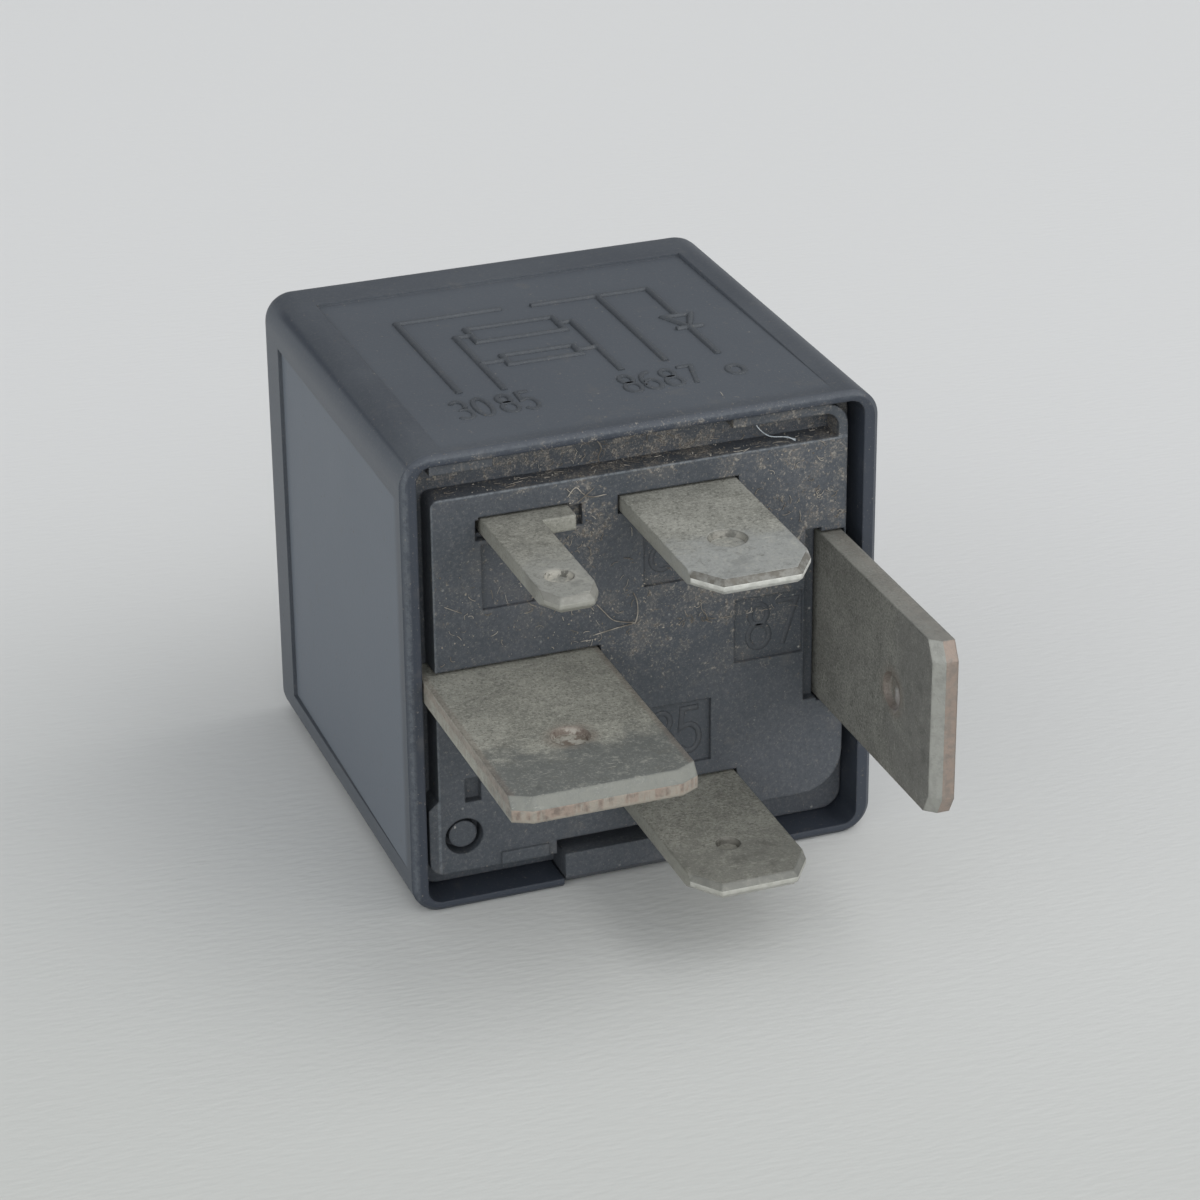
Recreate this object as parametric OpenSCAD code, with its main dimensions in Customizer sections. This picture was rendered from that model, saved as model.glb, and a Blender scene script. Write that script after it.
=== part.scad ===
// Plug-in automotive relay with four wide and one narrow blade terminal,
// lying on one side face with its circuit side up.
// Millimetres. X runs across, Y from the blade tips to the closed end, Z up.
// The origin is on the resting side, under the middle of the whole length.
// Inside the modules Y is counted from the cover's rim, and placed() then
// moves each piece, so that the whole length is centred on the origin.

/* [Cover] */
// Width of the cover at its rim
cover_w = 25.6; // [25.2:0.1:30]
// Height of the cover at its rim
cover_h = 25.6; // [25.2:0.1:30]
// Depth of the cover from its rim to the closed end
cover_d = 25.4; // [23:0.1:32]
// Moulding draft of each side over the whole depth
draft = 0.15; // [0.05:0.01:0.4]
// Thickness of the left and right walls
wall = 0.82; // [0.6:0.02:1]
// Thickness of the upper and lower walls
wall_flat = 0.55; // [0.45:0.05:0.8]
// Thickness of the closed end
end_wall = 1.2; // [0.8:0.1:1.6]
// Radius of the four long edges
edge_r = 1.6; // [1.2:0.05:2.6]
// Radius round the closed end
end_r = 1.5; // [0.6:0.05:1.55]
// Chamfer round the rim
rim_chamfer = 0.25; // [0.1:0.05:0.4]
// Plain border beside each shallow side panel
panel_side = 2.35; // [2:0.05:5]
// Plain border between the side panels and the closed end
panel_end = 3.6; // [2.4:0.1:6]
// Plain border between the side panels and the rim
panel_rim = 0.9; // [0.4:0.1:2]
// Depth of the side panels at the closed end, from where they run out forwards
panel_deep = 0.2; // [0.1:0.05:0.35]
// Width of the latch notch in the lower wall
notch_w = 9.1; // [6:0.1:12]
// Play of the latch tongue in the notch
notch_play = 0.1; // [0.05:0.01:0.2]
// Height of the inner ribs that the base stops against
rib_h = 0.6; // [0.4:0.05:0.7]
// Width of the inner ribs
rib_w = 0.8; // [0.6:0.1:1.2]
// Distance of the inner ribs from the middle of their wall
rib_off = 9.5; // [8.6:0.1:10]

/* [Base] */
// Play between the base and the cover's walls
base_fit = 0.05; // [0.03:0.01:0.12]
// Depth of the flange's front face below the rim
flange_in = 2; // [1.4:0.1:2.6]
// Thickness of the flange
flange_t = 2.5; // [1.8:0.1:3.2]
// Radius of the flange's corners
flange_r = 1.1; // [0.8:0.1:1.3]
// Depth of the terminal face below the rim
face_in = 0.45; // [0.1:0.05:0.9]
// Channel left of the terminal face
chan_left = 0.75; // [0.5:0.05:0.9]
// Channel right of the terminal face
chan_right = 0.65; // [0.3:0.05:0.8]
// Channel above the terminal face
chan_top = 2; // [1.6:0.05:2.2]
// Channel below the terminal face
chan_low = 1.25; // [0.8:0.05:1.4]
// Raised lower edge of the face over the latch
face_lift = 0.78; // [0.6:0.02:1.2]
// Raised edge's start beside the notch in the cover
lift_past = 0.25; // [0.1:0.05:0.5]
// Radius of the face's upper left corner
face_r_top = 0.4; // [0.2:0.1:0.8]
// Radius of the face's lower left corner
face_r_left = 0.8; // [0.4:0.1:1.2]
// Radius of the face's lower right corner
face_r_low = 2.3; // [1.4:0.1:3]
// Step of the face towards the left wall at its lower corner
step_out = 0.55; // [0.2:0.05:0.6]
// Height of that step
step_h = 3.85; // [3:0.05:5]
// Thickness of the thin rim rib round the face
thin_rib = 0.5; // [0.4:0.02:0.6]
// Length of the thin rib from the right corner
thin_rib_right = 6.3; // [4:0.1:9]
// Length of the thin rib at the left end
thin_rib_left = 3.3; // [2:0.1:6]
// Height of the latch tongue above the flange's lower edge
tongue_h = 1.3; // [1:0.02:1.5]
// Radius of the guide post
post_r = 0.75; // [0.5:0.05:0.8]
// Depth of the guide post's end below the face
post_in = 0.25; // [0.1:0.05:0.5]
// Radius of the ring recess round the guide post
ring_r = 1.03; // [0.95:0.01:1.2]
// Depth of the ring recess
ring_deep = 1; // [0.5:0.1:1.5]
// Guide post from the face's left edge
post_x = 1.32; // [1.2:0.01:2]
// Guide post from the face's lower edge
post_z = 2.05; // [1.4:0.01:3]
// Width of the keyway over the guide post
key_w = 0.88; // [0.6:0.02:1.1]
// Height of that keyway
key_h = 1.38; // [1:0.02:2]
// Keyway's lower end over the guide post's middle
key_up = 1.93; // [1.8:0.01:2.4]
// Side of the sunk fields for the terminal numbers
field_w = 3.8; // [3:0.1:4.2]
// Height of the sunk number fields
field_h = 3.6; // [3:0.1:3.8]
// Depth of the sunk number fields
field_deep = 0.25; // [0.1:0.05:0.5]
// Distance of a number field from its blade
field_off = 0.95; // [0.8:0.05:1.2]
// Height of the pads that carry the magnet frame
pad_h = 1.5; // [1.3:0.1:2]

/* [Blades] */
// Reach of the two 9.5 blades in front of the rim
big_out = 13.65; // [10:0.1:18]
// Width of the 9.5 blades
big_w = 9.5; // [8.8:0.1:9.6]
// Thickness of the 9.5 blades
big_t = 1.2; // [1:0.05:1.3]
// Reach of the two 6.3 coil blades
mid_out = 10.6; // [8:0.1:14]
// Width of the coil blades
mid_w = 6.3; // [5.6:0.1:6.5]
// Thickness of the coil blades
mid_t = 0.8; // [0.6:0.05:1]
// Reach of the 2.8 blade
small_out = 9.6; // [7:0.1:13]
// Width of the 2.8 blade
small_w = 2.8; // [2.4:0.1:3.2]
// Width of the stub that the 2.8 blade stands on
stub_w = 4.6; // [4:0.1:5]
// Reach of that stub in front of the rim
stub_out = 0.75; // [0.5:0.05:1.5]
// Gap round each blade where it leaves the base
slot_gap = 0.13; // [0.05:0.01:0.2]
// Play of the blade necks in the base
neck_fit = 0.02; // [0.01:0.005:0.04]
// Shoulder on each side of a blade's neck
shoulder = 0.7; // [0.5:0.05:0.9]
// Distance between the centres of the coil blades
coil_pitch = 16.8; // [16:0.1:17.4]
// Coil blades beside the middle
mid_x = 2; // [1.6:0.1:2.2]
// Gap from the left 9.5 blade's edge to the cover's wall
big_side_gap = 0.08; // [0.04:0.01:0.2]
// Gap from the right 9.5 blade's face to the cover's wall
upright_gap = 0.93; // [0.75:0.01:1.1]
// Height of the right 9.5 blade's centre above the middle
upright_rise = 0.15; // [0:0.05:0.4]
// Length of the bevel on one face of the 9.5 blades' tips
big_bevel = 0.45; // [0.3:0.05:1.2]
// Depth of that bevel
big_bevel_t = 0.55; // [0.2:0.05:0.7]
// Bevel on both faces of the other blades' tips
mid_bevel = 0.28; // [0.1:0.02:0.34]
// Length of the corner chamfers of the 9.5 blades
big_cut_l = 0.5; // [0.3:0.05:1]
// Length of the corner chamfers of the coil blades
mid_cut_l = 1.55; // [0.8:0.05:2]
// Length of the corner chamfers of the 2.8 blade
small_cut_l = 0.9; // [0.5:0.05:1.4]
// Radius of the dimples in the blades
dimple_r = 1; // [0.8:0.05:1.2]
// Depth of the dimples
dimple_deep = 0.35; // [0.2:0.05:0.45]
// Dimple of blade 30 from the tip
dimple_30 = 5.6; // [4:0.1:7]
// Dimple of blade 87 from the tip
dimple_87 = 5.05; // [4:0.05:7]
// Dimple of blade 86 from the tip
dimple_86 = 4.55; // [3:0.05:6]
// Dimple of blade 85 from the tip
dimple_85 = 4; // [3:0.05:6]
// Dimple of the 2.8 blade from the tip
dimple_small = 2.55; // [2:0.05:5]

/* [Magnet] */
// Room between the magnet frame and the closed end
head_room = 4.5; // [4.3:0.1:6]
// Room between the magnet frame and the left wall
side_room = 1.41; // [1.4:0.01:1.8]
// Thickness of the magnet frame
yoke_t = 1.8; // [1.4:0.1:2]
// Width of the magnet frame and armature
yoke_w = 12; // [10.4:0.1:12.2]
// Inner bend radius of the magnet frame
yoke_bend = 0.6; // [0.3:0.1:0.9]
// Core's distance from the frame's outer face
core_in = 8.5; // [8.4:0.05:8.6]
// Radius of the core
core_r = 2.75; // [2.2:0.05:3]
// Radius of the core's riveted tail
tail_r = 2; // [1.4:0.1:2.1]
// Radius of the pole head
pole_r = 4.25; // [3.6:0.05:4.4]
// Thickness of the pole head
pole_t = 1; // [0.7:0.1:1.3]
// Thickness of the bobbin's tube
tube_t = 0.75; // [0.5:0.05:1]
// Thickness of the bobbin's flanges
bob_t = 1; // [0.7:0.1:1.2]
// Half size of the bobbin's flanges
bob_half = 6.3; // [6.1:0.1:6.5]
// Outer radius of the winding
coil_r = 6; // [5:0.1:6.1]
// Radius of the coil wire's lead-outs
wire_r = 0.15; // [0.1:0.01:0.25]
// Play between core, bobbin and frame
mag_fit = 0.1; // [0.05:0.01:0.15]

/* [Armature] */
// Thickness of the armature
arma_t = 1.5; // [1.2:0.1:1.7]
// Armature's reach past the pole head
arma_over = 0.95; // [0.8:0.05:1.2]
// Closed gap between armature and pole
arma_gap = 0.05; // [0.03:0.01:0.1]
// Angle that the armature opens by
open_deg = 3.8; // [2:0.1:4]
// Play of the open armature under its stops
stop_gap = 0.02; // [0.01:0.01:0.05]
// Thickness of the contact arm
leaf_t = 0.4; // [0.3:0.05:0.5]
// Width of the contact arm on the armature
leaf_w = 8; // [6:0.1:8.6]
// Radius of the contacts
contact_r = 1.8; // [1.3:0.1:2]
// Radius of the contacts' shanks
contact_shank = 1; // [0.7:0.05:1.1]
// Thickness of the fixed contact
contact_t = 1; // [0.8:0.1:1.2]
// Closed gap between the contacts
contact_gap = 0.05; // [0.03:0.01:0.1]
// Thickness of the return spring
spring_t = 0.3; // [0.2:0.02:0.36]
// Width of the return spring
spring_w = 8; // [6:0.1:9]
// Radius of the rivets
rivet_r = 0.8; // [0.5:0.05:0.9]
// Play of shanks in their holes
rivet_fit = 0.02; // [0.01:0.005:0.04]

/* [Circuit] */
// Thickness of the braid
braid_r = 0.7; // [0.5:0.05:0.8]
// Radius of the resistor
res_r = 1.2; // [1:0.05:1.3]
// Length of the resistor
res_l = 6.5; // [5:0.1:7]
// Radius of the diode
diode_r = 1.35; // [1:0.05:1.4]
// Length of the diode
diode_l = 5.2; // [4.4:0.1:5.6]
// Radius of the lead wires
lead_r = 0.35; // [0.25:0.05:0.4]
// Radius of the solder beads
bead_r = 0.75; // [0.6:0.05:0.8]

/* [Hidden] */
$fn = 64;
eps = 0.01;

// Cover
rim_y = (big_out - cover_d) / 2;
mid_z = cover_h / 2;
slope = draft / cover_d;
end_fillet = min(end_r, edge_r - 0.05);
inner_r = max(edge_r - wall, 0.5);
function in_w(y) = cover_w / 2 - wall - slope * y;
function in_h(y) = cover_h / 2 - wall_flat - slope * y;

// Base
flange_back = flange_in + flange_t;
pad_back = flange_back + pad_h;
fl_w = in_w(flange_back) - base_fit;
fl_h = in_h(flange_back) - base_fit;
face_l = -fl_w + chan_left;
face_r = fl_w - chan_right;
face_top = mid_z + fl_h - chan_top;
face_bot = mid_z - fl_h + chan_low;
rib_line = mid_z + fl_h - 0.37;

// Terminals
neck_big = big_w - 2 * shoulder;
neck_mid = mid_w - 2 * shoulder;
x_30 = -(in_w(0) - big_side_gap - big_w / 2);
x_87 = in_w(0) - upright_gap - big_t / 2;
z_86 = mid_z + coil_pitch / 2;
z_85 = mid_z - coil_pitch / 2;
stub_l = x_30 - small_w / 2;
x_diode = x_30;
// Inner leg of terminal 30, right of its neck's middle
leg_w = 3;
leg_x = x_30 + neck_big / 2 - leg_w / 2;
leg_low = 8.6;
leg_len = 10.5;
leg_z = mid_z - leg_low;
leg_end = flange_back + leg_len;
// Inner legs of the coil blades
coil_leg_w = 2.5;
coil_leg_x = mid_x + neck_mid / 2 - coil_leg_w / 2;
coil_leg_end = pad_back + 4;

// Magnet system, hung from the closed end's inner face
yoke_top = cover_d - end_wall - head_room;
yoke_x = -(in_w(cover_d) - side_room);
foot_y = pad_back;
foot_in = foot_y + yoke_t;
core_x = yoke_x + core_in;
pole_y = yoke_top - pole_t;
bob_y = pole_y - mag_fit - bob_t;
tube_r = core_r + mag_fit + tube_t;
bob_left = yoke_x + yoke_t + yoke_bend + mag_fit;
bob_right = core_x + bob_half;
foot_end = core_x + 3.2;

// Armature, drawn closed and then opened about its heel
pivot = [yoke_x, yoke_top + arma_gap];
arma_end = core_x + pole_r + arma_over;
arma_top = pivot[1] + arma_t;
leaf_top = arma_top + leaf_t;
contact_off = 2.4;
contact_x = x_87 - contact_off;
fixed_top = yoke_top + 0.3;
post_y = pivot[1] + (arma_end - yoke_x) * sin(open_deg)
    + arma_t * cos(open_deg) + stop_gap;
rivet_xs = [core_x - 2.6, core_x + 1];
yoke_rivet_y = foot_in + 2.6;
yoke_rivet_z = 2.5;
ear_x = leg_x;

// Circuit
res_x = (bob_right + x_87 - big_t / 2) / 2;
res_y = foot_in + 0.7;
res_lead_z = coil_pitch / 2 - mid_t / 2 - lead_r;
coil_wire_y = foot_in + bob_t + 0.8;
coil_wire_x = coil_leg_x - 0.6;
// Start of the lead-outs inside the winding, above its middle
wire_in = 1;
diode_y = coil_leg_end + 3.1;
diode_z = z_86 + mid_t / 2 + lead_r;
diode_x = mid_x + 1.6;

// ---- Helpers ----

function unit(v) = v / norm(v);

// Points of an arc about c
function arc(c, r, a0, a1, n) =
    [for (i = [0:n]) c + r * [cos(a0 + (a1 - a0) * i / n), sin(a0 + (a1 - a0) * i / n)]];

// Outline of a rectangle with rounded corners
function round_box(x0, z0, x1, z1, r) = concat(
    arc([x1 - r, z1 - r], r, 0, 90, 8),
    arc([x0 + r, z1 - r], r, 90, 180, 8),
    arc([x0 + r, z0 + r], r, 180, 270, 8),
    arc([x1 - r, z0 + r], r, 270, 360, 8));

// Arc of radius r in the corner q between p and s
function corner(p, q, s, r, n) =
    let (a = unit(p - q))
    let (b = unit(s - q))
    let (half = acos(a * b) / 2)
    let (c = q + unit(a + b) * r / sin(half))
    let (u = q + a * r / tan(half) - c)
    let (way = a[0] * b[1] - a[1] * b[0] > 0 ? -1 : 1)
    let (a0 = atan2(u[1], u[0]))
    arc(c, r, a0, a0 + way * (180 - 2 * half), n);

// A centre line with its corners rounded
function bent(path, r, n) = concat([path[0]],
    [for (i = [1:len(path) - 2]) each corner(path[i - 1], path[i], path[i + 1], r, n)],
    [path[len(path) - 1]]);

// The same line moved sideways by d
function beside(p, d) = [for (i = [0:len(p) - 1])
    let (t0 = unit(p[max(i, 1)] - p[max(i, 1) - 1]))
    let (t1 = unit(p[min(i, len(p) - 2) + 1] - p[min(i, len(p) - 2)]))
    let (n0 = [-t0[1], t0[0]])
    let (n = unit([-t0[1] - t1[1], t0[0] + t1[0]]))
    p[i] + n * d / (n * n0)];

// Section of a bent strip of sheet, t thick
module strip(path, r, t) {
    p = bent(path, r, 6);
    q = beside(p, -t / 2);
    polygon(concat(beside(p, t / 2), [for (i = [len(q) - 1:-1:0]) q[i]]));
}

// Round wire along a bent line in the XY plane
module wire(path, r_bend, r) {
    p = len(path) > 2 ? bent(path, r_bend, 4) : path;
    up = beside(p, 1);
    sides = 8;
    rings = len(p);
    pts = [for (i = [0:rings - 1]) for (k = [0:sides - 1])
        let (n = up[i] - p[i])
        let (c = p[i] + n * r * cos(k * 360 / sides))
        [c[0], c[1], r * sin(k * 360 / sides)]];
    walls = [for (i = [0:rings - 2]) for (k = [0:sides - 1])
        let (m = (k + 1) % sides)
        [i * sides + k, i * sides + m, (i + 1) * sides + m, (i + 1) * sides + k]];
    first = [[for (k = [sides - 1:-1:0]) k]];
    last = [[for (k = [0:sides - 1]) (rings - 1) * sides + k]];
    polyhedron(pts, concat(walls, first, last));
}

// Moves a piece from the rim's frame to the part's frame
module placed() {
    translate([0, rim_y, 0]) children();
}

// Plate across the part between two depths, from an X-Z outline
module slab(y0, y1) {
    translate([0, y1, 0]) rotate([90, 0, 0]) linear_extrude(y1 - y0) children();
}

// Bar along X from a Y-Z outline, centred on x = 0
module bar(w) {
    translate([-w / 2, 0, 0]) rotate([90, 0, 90]) linear_extrude(w) children();
}

// Bar along Z from an X-Y outline, centred on the part's middle height
module upright(w) {
    translate([0, 0, mid_z - w / 2]) linear_extrude(w) children();
}

// Cylinder along Y
module peg(x, z, r, y0, y1) {
    translate([x, y0, z]) rotate([-90, 0, 0]) cylinder(r = r, h = y1 - y0);
}

// Turns the armature's pieces to the open position about the heel
module opened() {
    translate([pivot[0], pivot[1], 0]) rotate([0, 0, open_deg])
        translate([-pivot[0], -pivot[1], 0]) children();
}

function open_pt(p) = pivot + [
    (p[0] - pivot[0]) * cos(open_deg) - (p[1] - pivot[1]) * sin(open_deg),
    (p[0] - pivot[0]) * sin(open_deg) + (p[1] - pivot[1]) * cos(open_deg)];

// ---- Cover ----

// One rounded corner at the closed end
module end_corner() {
    rotate([-90, 0, 0]) rotate_extrude()
        polygon(concat([[0, 0]],
            arc([edge_r - end_fillet, 0], end_fillet, 0, 90, 8),
            [[0, end_fillet]]));
}

module cover_outside() {
    back = cover_d - end_fillet;
    hull() {
        for (sx = [-1, 1], sz = [-1, 1]) {
            translate([sx * (cover_w / 2 - edge_r), 0, mid_z + sz * (cover_h / 2 - edge_r)])
                rotate([-90, 0, 0])
                cylinder(r1 = edge_r - rim_chamfer, r2 = edge_r, h = rim_chamfer);
            translate([sx * (cover_w / 2 - slope * back - edge_r), back,
                mid_z + sz * (cover_h / 2 - slope * back - edge_r)])
                end_corner();
        }
    }
}

module cover_inside() {
    back = cover_d - end_wall;
    hull() {
        for (sx = [-1, 1], sz = [-1, 1]) {
            translate([sx * (in_w(0) - inner_r), -1, mid_z + sz * (in_h(0) - inner_r)])
                rotate([-90, 0, 0]) cylinder(r = inner_r, h = 1, $fn = 32);
            translate([sx * (in_w(back) - inner_r), back - eps, mid_z + sz * (in_h(back) - inner_r)])
                rotate([-90, 0, 0]) cylinder(r = inner_r, h = eps, $fn = 32);
        }
    }
}

// Cut for the shallow panel on one side, half a width from the middle
module panel_cut(half, w, turn) {
    long = cover_d - panel_end - panel_rim;
    translate([0, 0, mid_z]) rotate([0, turn, 0])
        translate([0, panel_rim, half - slope * panel_rim])
        rotate([-atan(slope + panel_deep / long), 0, 0]) translate([-w / 2, 0, 0])
        cube([w, long, 3]);
}

// The two stop ribs on one inner side
module stop_ribs(half_front, half_back, turn) {
    front = flange_back;
    back = cover_d - end_wall + 0.3;
    for (s = [-1, 1])
        translate([0, 0, mid_z]) rotate([0, turn, 0])
            translate([s * rib_off - rib_w / 2, front, half_front - rib_h])
            cube([rib_w, back - front, rib_h + half_back - half_front + 0.3]);
}

module cover() {
    color("#2e3236")
    placed() {
        difference() {
            cover_outside();
            cover_inside();
            panel_cut(cover_h / 2, cover_w - 2 * panel_side, 0);
            panel_cut(cover_w / 2, cover_h - 2 * panel_side, 90);
            panel_cut(cover_h / 2, cover_w - 2 * panel_side, 180);
            panel_cut(cover_w / 2, cover_h - 2 * panel_side, 270);
            translate([-notch_w / 2, -1, -1])
                cube([notch_w, flange_back + notch_play + 1, 1 + wall_flat + slope * flange_back + 0.05]);
        }
        stop_ribs(in_w(flange_back), in_w(cover_d), 90);
        stop_ribs(in_w(flange_back), in_w(cover_d), 270);
    }
}

// ---- Base ----

lift_x = -notch_w / 2 - lift_past;
face_outline = concat(
    arc([face_l - step_out + face_r_left, face_bot + face_r_left], face_r_left, 180, 270, 6),
    [[lift_x, face_bot], [lift_x, face_bot + face_lift]],
    arc([face_r - face_r_low, face_bot + face_lift + face_r_low], face_r_low, 270, 360, 8),
    [[face_r, face_top]],
    arc([face_l + face_r_top, face_top - face_r_top], face_r_top, 90, 180, 4),
    [[face_l, face_bot + step_h + 0.8 * step_out], [face_l - step_out, face_bot + step_h]]);

// Slot for one blade: open in front, close round the neck behind the seat
module blade_slot(w, t, neck_x, neck_w) {
    translate([-w / 2 - slot_gap, -5, -t / 2 - slot_gap])
        cube([w + 2 * slot_gap, 5 + flange_in, t + 2 * slot_gap]);
    translate([neck_x - neck_w / 2 - neck_fit, flange_in - eps, -t / 2 - neck_fit])
        cube([neck_w + 2 * neck_fit, flange_t + 1, t + 2 * neck_fit]);
}

// Sunk field for a number
module number_field(x, z, w) {
    translate([x - w / 2, -1, z]) cube([w, 1 + face_in + field_deep, field_h]);
}

module latch_tongue() {
    low = 0.12;
    top = mid_z - fl_h + tongue_h;
    bar(notch_w - 2 * notch_play)
        polygon([[0.1, low + 0.4], [0.5, low], [flange_back, low], [flange_back, top], [0.1, top]]);
}

module base() {
    color("#282a2d")
    placed() {
        difference() {
            union() {
                slab(flange_in, flange_back)
                    polygon(round_box(-fl_w, mid_z - fl_h, fl_w, mid_z + fl_h, flange_r));
                slab(face_in, flange_in + 0.5) polygon(face_outline);
                slab(face_in, flange_in + 0.5)
                    strip([[face_r - thin_rib_right, rib_line],
                        [face_r - thin_rib / 2, rib_line],
                        [face_r - thin_rib / 2, face_top - 0.5]], 1, thin_rib);
                slab(face_in, flange_in + 0.5)
                    translate([face_l, rib_line - thin_rib / 2])
                    square([thin_rib_left, thin_rib]);
                slab(face_in - 0.15, face_in + 0.5)
                    translate([face_l + 3.3, face_bot + 0.05]) square([2.6, 0.7]);
                latch_tongue();
                // Pads under the magnet frame's foot
                slab(flange_back - 0.5, pad_back)
                    translate([yoke_x + 0.5, mid_z + 2.9]) square([foot_end - yoke_x - 1, 2.7]);
                slab(flange_back - 0.5, pad_back)
                    translate([yoke_x + 0.5, mid_z - 5.6]) square([2.8, 4.4]);
                slab(flange_back - 0.5, pad_back)
                    translate([leg_x + leg_w / 2 + 0.4, mid_z - 5.6])
                    square([foot_end - leg_x - leg_w / 2 - 0.9, 2.6]);
            }
            translate([x_30, 0, mid_z]) blade_slot(big_w, big_t, 0, neck_big);
            translate([x_87, 0, mid_z + upright_rise]) rotate([0, -90, 0])
                blade_slot(big_w, big_t, -upright_rise, neck_big);
            translate([mid_x, 0, z_86]) blade_slot(mid_w, mid_t, 0, neck_mid);
            translate([mid_x, 0, z_85]) blade_slot(mid_w, mid_t, 0, neck_mid);
            translate([stub_l + stub_w / 2, 0, z_86])
                blade_slot(stub_w, mid_t, 0, stub_w - 2 * shoulder);
            // Relief at the root of the narrow blade's stub
            translate([stub_l - 0.3, -1, z_86 - mid_t / 2 - 0.35])
                cube([stub_w + 1.06, 1.5 + face_in, mid_t + 0.35]);
            // Relief left of the upright blade
            translate([x_87 - big_t / 2 - 0.85, -1, mid_z + upright_rise - big_w / 2 + 0.05])
                cube([0.9, 1.6 + face_in, big_w + 0.3]);
            // Number fields
            number_field(mid_x - 0.1, z_85 + mid_t / 2 + field_off, field_w);
            number_field(mid_x + 0.02, z_86 - mid_t / 2 - field_off - field_h + 0.1, field_w);
            number_field(x_87 - big_t / 2 - field_off - field_w / 2, mid_z - field_h / 2 + 0.1, field_w);
            number_field(x_diode, z_86 - mid_t / 2 - field_off - field_h + 0.35, small_w);
            number_field(x_30 + 0.15, mid_z - big_t / 2 - field_off - field_h, field_w);
            // Ring recess and keyway at the guide post
            peg(face_l + post_x, face_bot + post_z, ring_r, -1, face_in + ring_deep);
            translate([face_l + post_x + 0.1, -1, face_bot + post_z + key_up])
                cube([key_w, 1.5 + face_in, key_h]);
        }
        peg(face_l + post_x, face_bot + post_z, post_r, face_in + post_in, face_in + ring_deep + 0.3);
    }
}

// ---- Terminals ----

// Edge of a blade along X at y = 0, bevelled on its upper and lower face
module edge_bar(len_x, back, t, bevel_l, up_t, low_t) {
    bar(len_x)
        polygon([[0, low_t - t / 2], [bevel_l, -t / 2], [back, -t / 2],
            [back, t / 2], [bevel_l, t / 2], [0, t / 2 - up_t]]);
}

// Blade pointing to -Y, centred on its own axis, from its tip to the seat.
// The bevels of the tip go on round its chamfered corners
module blade(w, t, out, cut_w, cut_l, bevel_l, up_t, low_t) {
    turn = atan2(cut_l, cut_w);
    far = 2 * (out + flange_in + w);
    intersection() {
        translate([0, -out, 0])
            edge_bar(w, out + flange_in, t, bevel_l, up_t, low_t);
        translate([w / 2 - cut_w, -out, 0]) rotate([0, 0, turn])
            edge_bar(far, far, t, bevel_l, up_t, low_t);
        translate([cut_w - w / 2, -out, 0]) rotate([0, 0, -turn])
            edge_bar(far, far, t, bevel_l, up_t, low_t);
    }
}

// Dimple in a blade's upper face
module dimple(x, y, t, r) {
    translate([x, y, t / 2 - dimple_deep])
        cylinder(r1 = 0.86 * r, r2 = r, h = dimple_deep + eps);
}

module neck(w, t, len_in) {
    translate([-w / 2, flange_in - eps, -t / 2]) cube([w, len_in + eps, t]);
}

module terminal_30() {
    color("#a39c8c")
    placed() {
        translate([x_30, 0, mid_z])
            difference() {
                union() {
                    blade(big_w, big_t, big_out, 0.95, big_cut_l, big_bevel, big_bevel_t, 0);
                    neck(neck_big, big_t, flange_t);
                }
                dimple(0.1, dimple_30 - big_out, big_t, dimple_r);
            }
        translate([leg_x, 0, 0]) bar(leg_w)
            strip([[flange_back - 0.5, mid_z], [flange_back + big_t / 2, mid_z],
                [flange_back + big_t / 2, leg_z], [leg_end, leg_z]], 0.65, big_t);
    }
}

module terminal_87() {
    color("#9f998a")
    placed() {
        translate([x_87, 0, mid_z + upright_rise]) rotate([0, -90, 0])
            difference() {
                blade(big_w, big_t, big_out, 0.95, big_cut_l, big_bevel, big_bevel_t, 0);
                dimple(0, dimple_87 - big_out, big_t, dimple_r);
            }
        difference() {
            upright(neck_big)
                strip([[x_87, flange_in - eps], [x_87, fixed_top - contact_t - big_t / 2],
                    [contact_x - 2.2, fixed_top - contact_t - big_t / 2]], 1, big_t);
            peg(contact_x, mid_z, contact_shank + rivet_fit, fixed_top - contact_t - big_t - 1, fixed_top);
        }
    }
}

module coil_terminal(x_dimple, y_dimple, r_dimple) {
    difference() {
        union() {
            blade(mid_w, mid_t, mid_out, 1.1, mid_cut_l, mid_bevel, mid_bevel, mid_bevel);
            neck(neck_mid, mid_t, flange_t + 0.8);
            translate([neck_mid / 2 - coil_leg_w, flange_back, -mid_t / 2])
                cube([coil_leg_w, coil_leg_end - flange_back, mid_t]);
        }
        dimple(x_dimple, y_dimple, mid_t, r_dimple);
    }
}

module terminal_85() {
    color("#a19b8d")
    placed() translate([mid_x, 0, z_85])
        coil_terminal(-0.1, dimple_85 - mid_out, 0.65 * dimple_r);
}

module terminal_86() {
    color("#a8a294")
    placed() translate([mid_x, 0, z_86])
        coil_terminal(0, dimple_86 - mid_out, 1.02 * dimple_r);
}

module terminal_diode() {
    color("#a6a092")
    placed() translate([x_diode, 0, z_86]) {
        difference() {
            union() {
                blade(small_w, mid_t, small_out, 0.5, small_cut_l, mid_bevel, mid_bevel, mid_bevel);
                translate([-small_w / 2, -stub_out, -mid_t / 2])
                    cube([stub_w, stub_out + flange_in, mid_t]);
                translate([(stub_w - small_w) / 2, 0, 0])
                    neck(stub_w - 2 * shoulder, mid_t, flange_t + 0.8);
                translate([(stub_w - small_w) / 2 - 1, flange_back, -mid_t / 2])
                    cube([2, diode_y + 1.2 - flange_back, mid_t]);
            }
            dimple(0, dimple_small - small_out, mid_t, 0.75 * dimple_r);
        }
    }
}

// ---- Magnet ----

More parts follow.
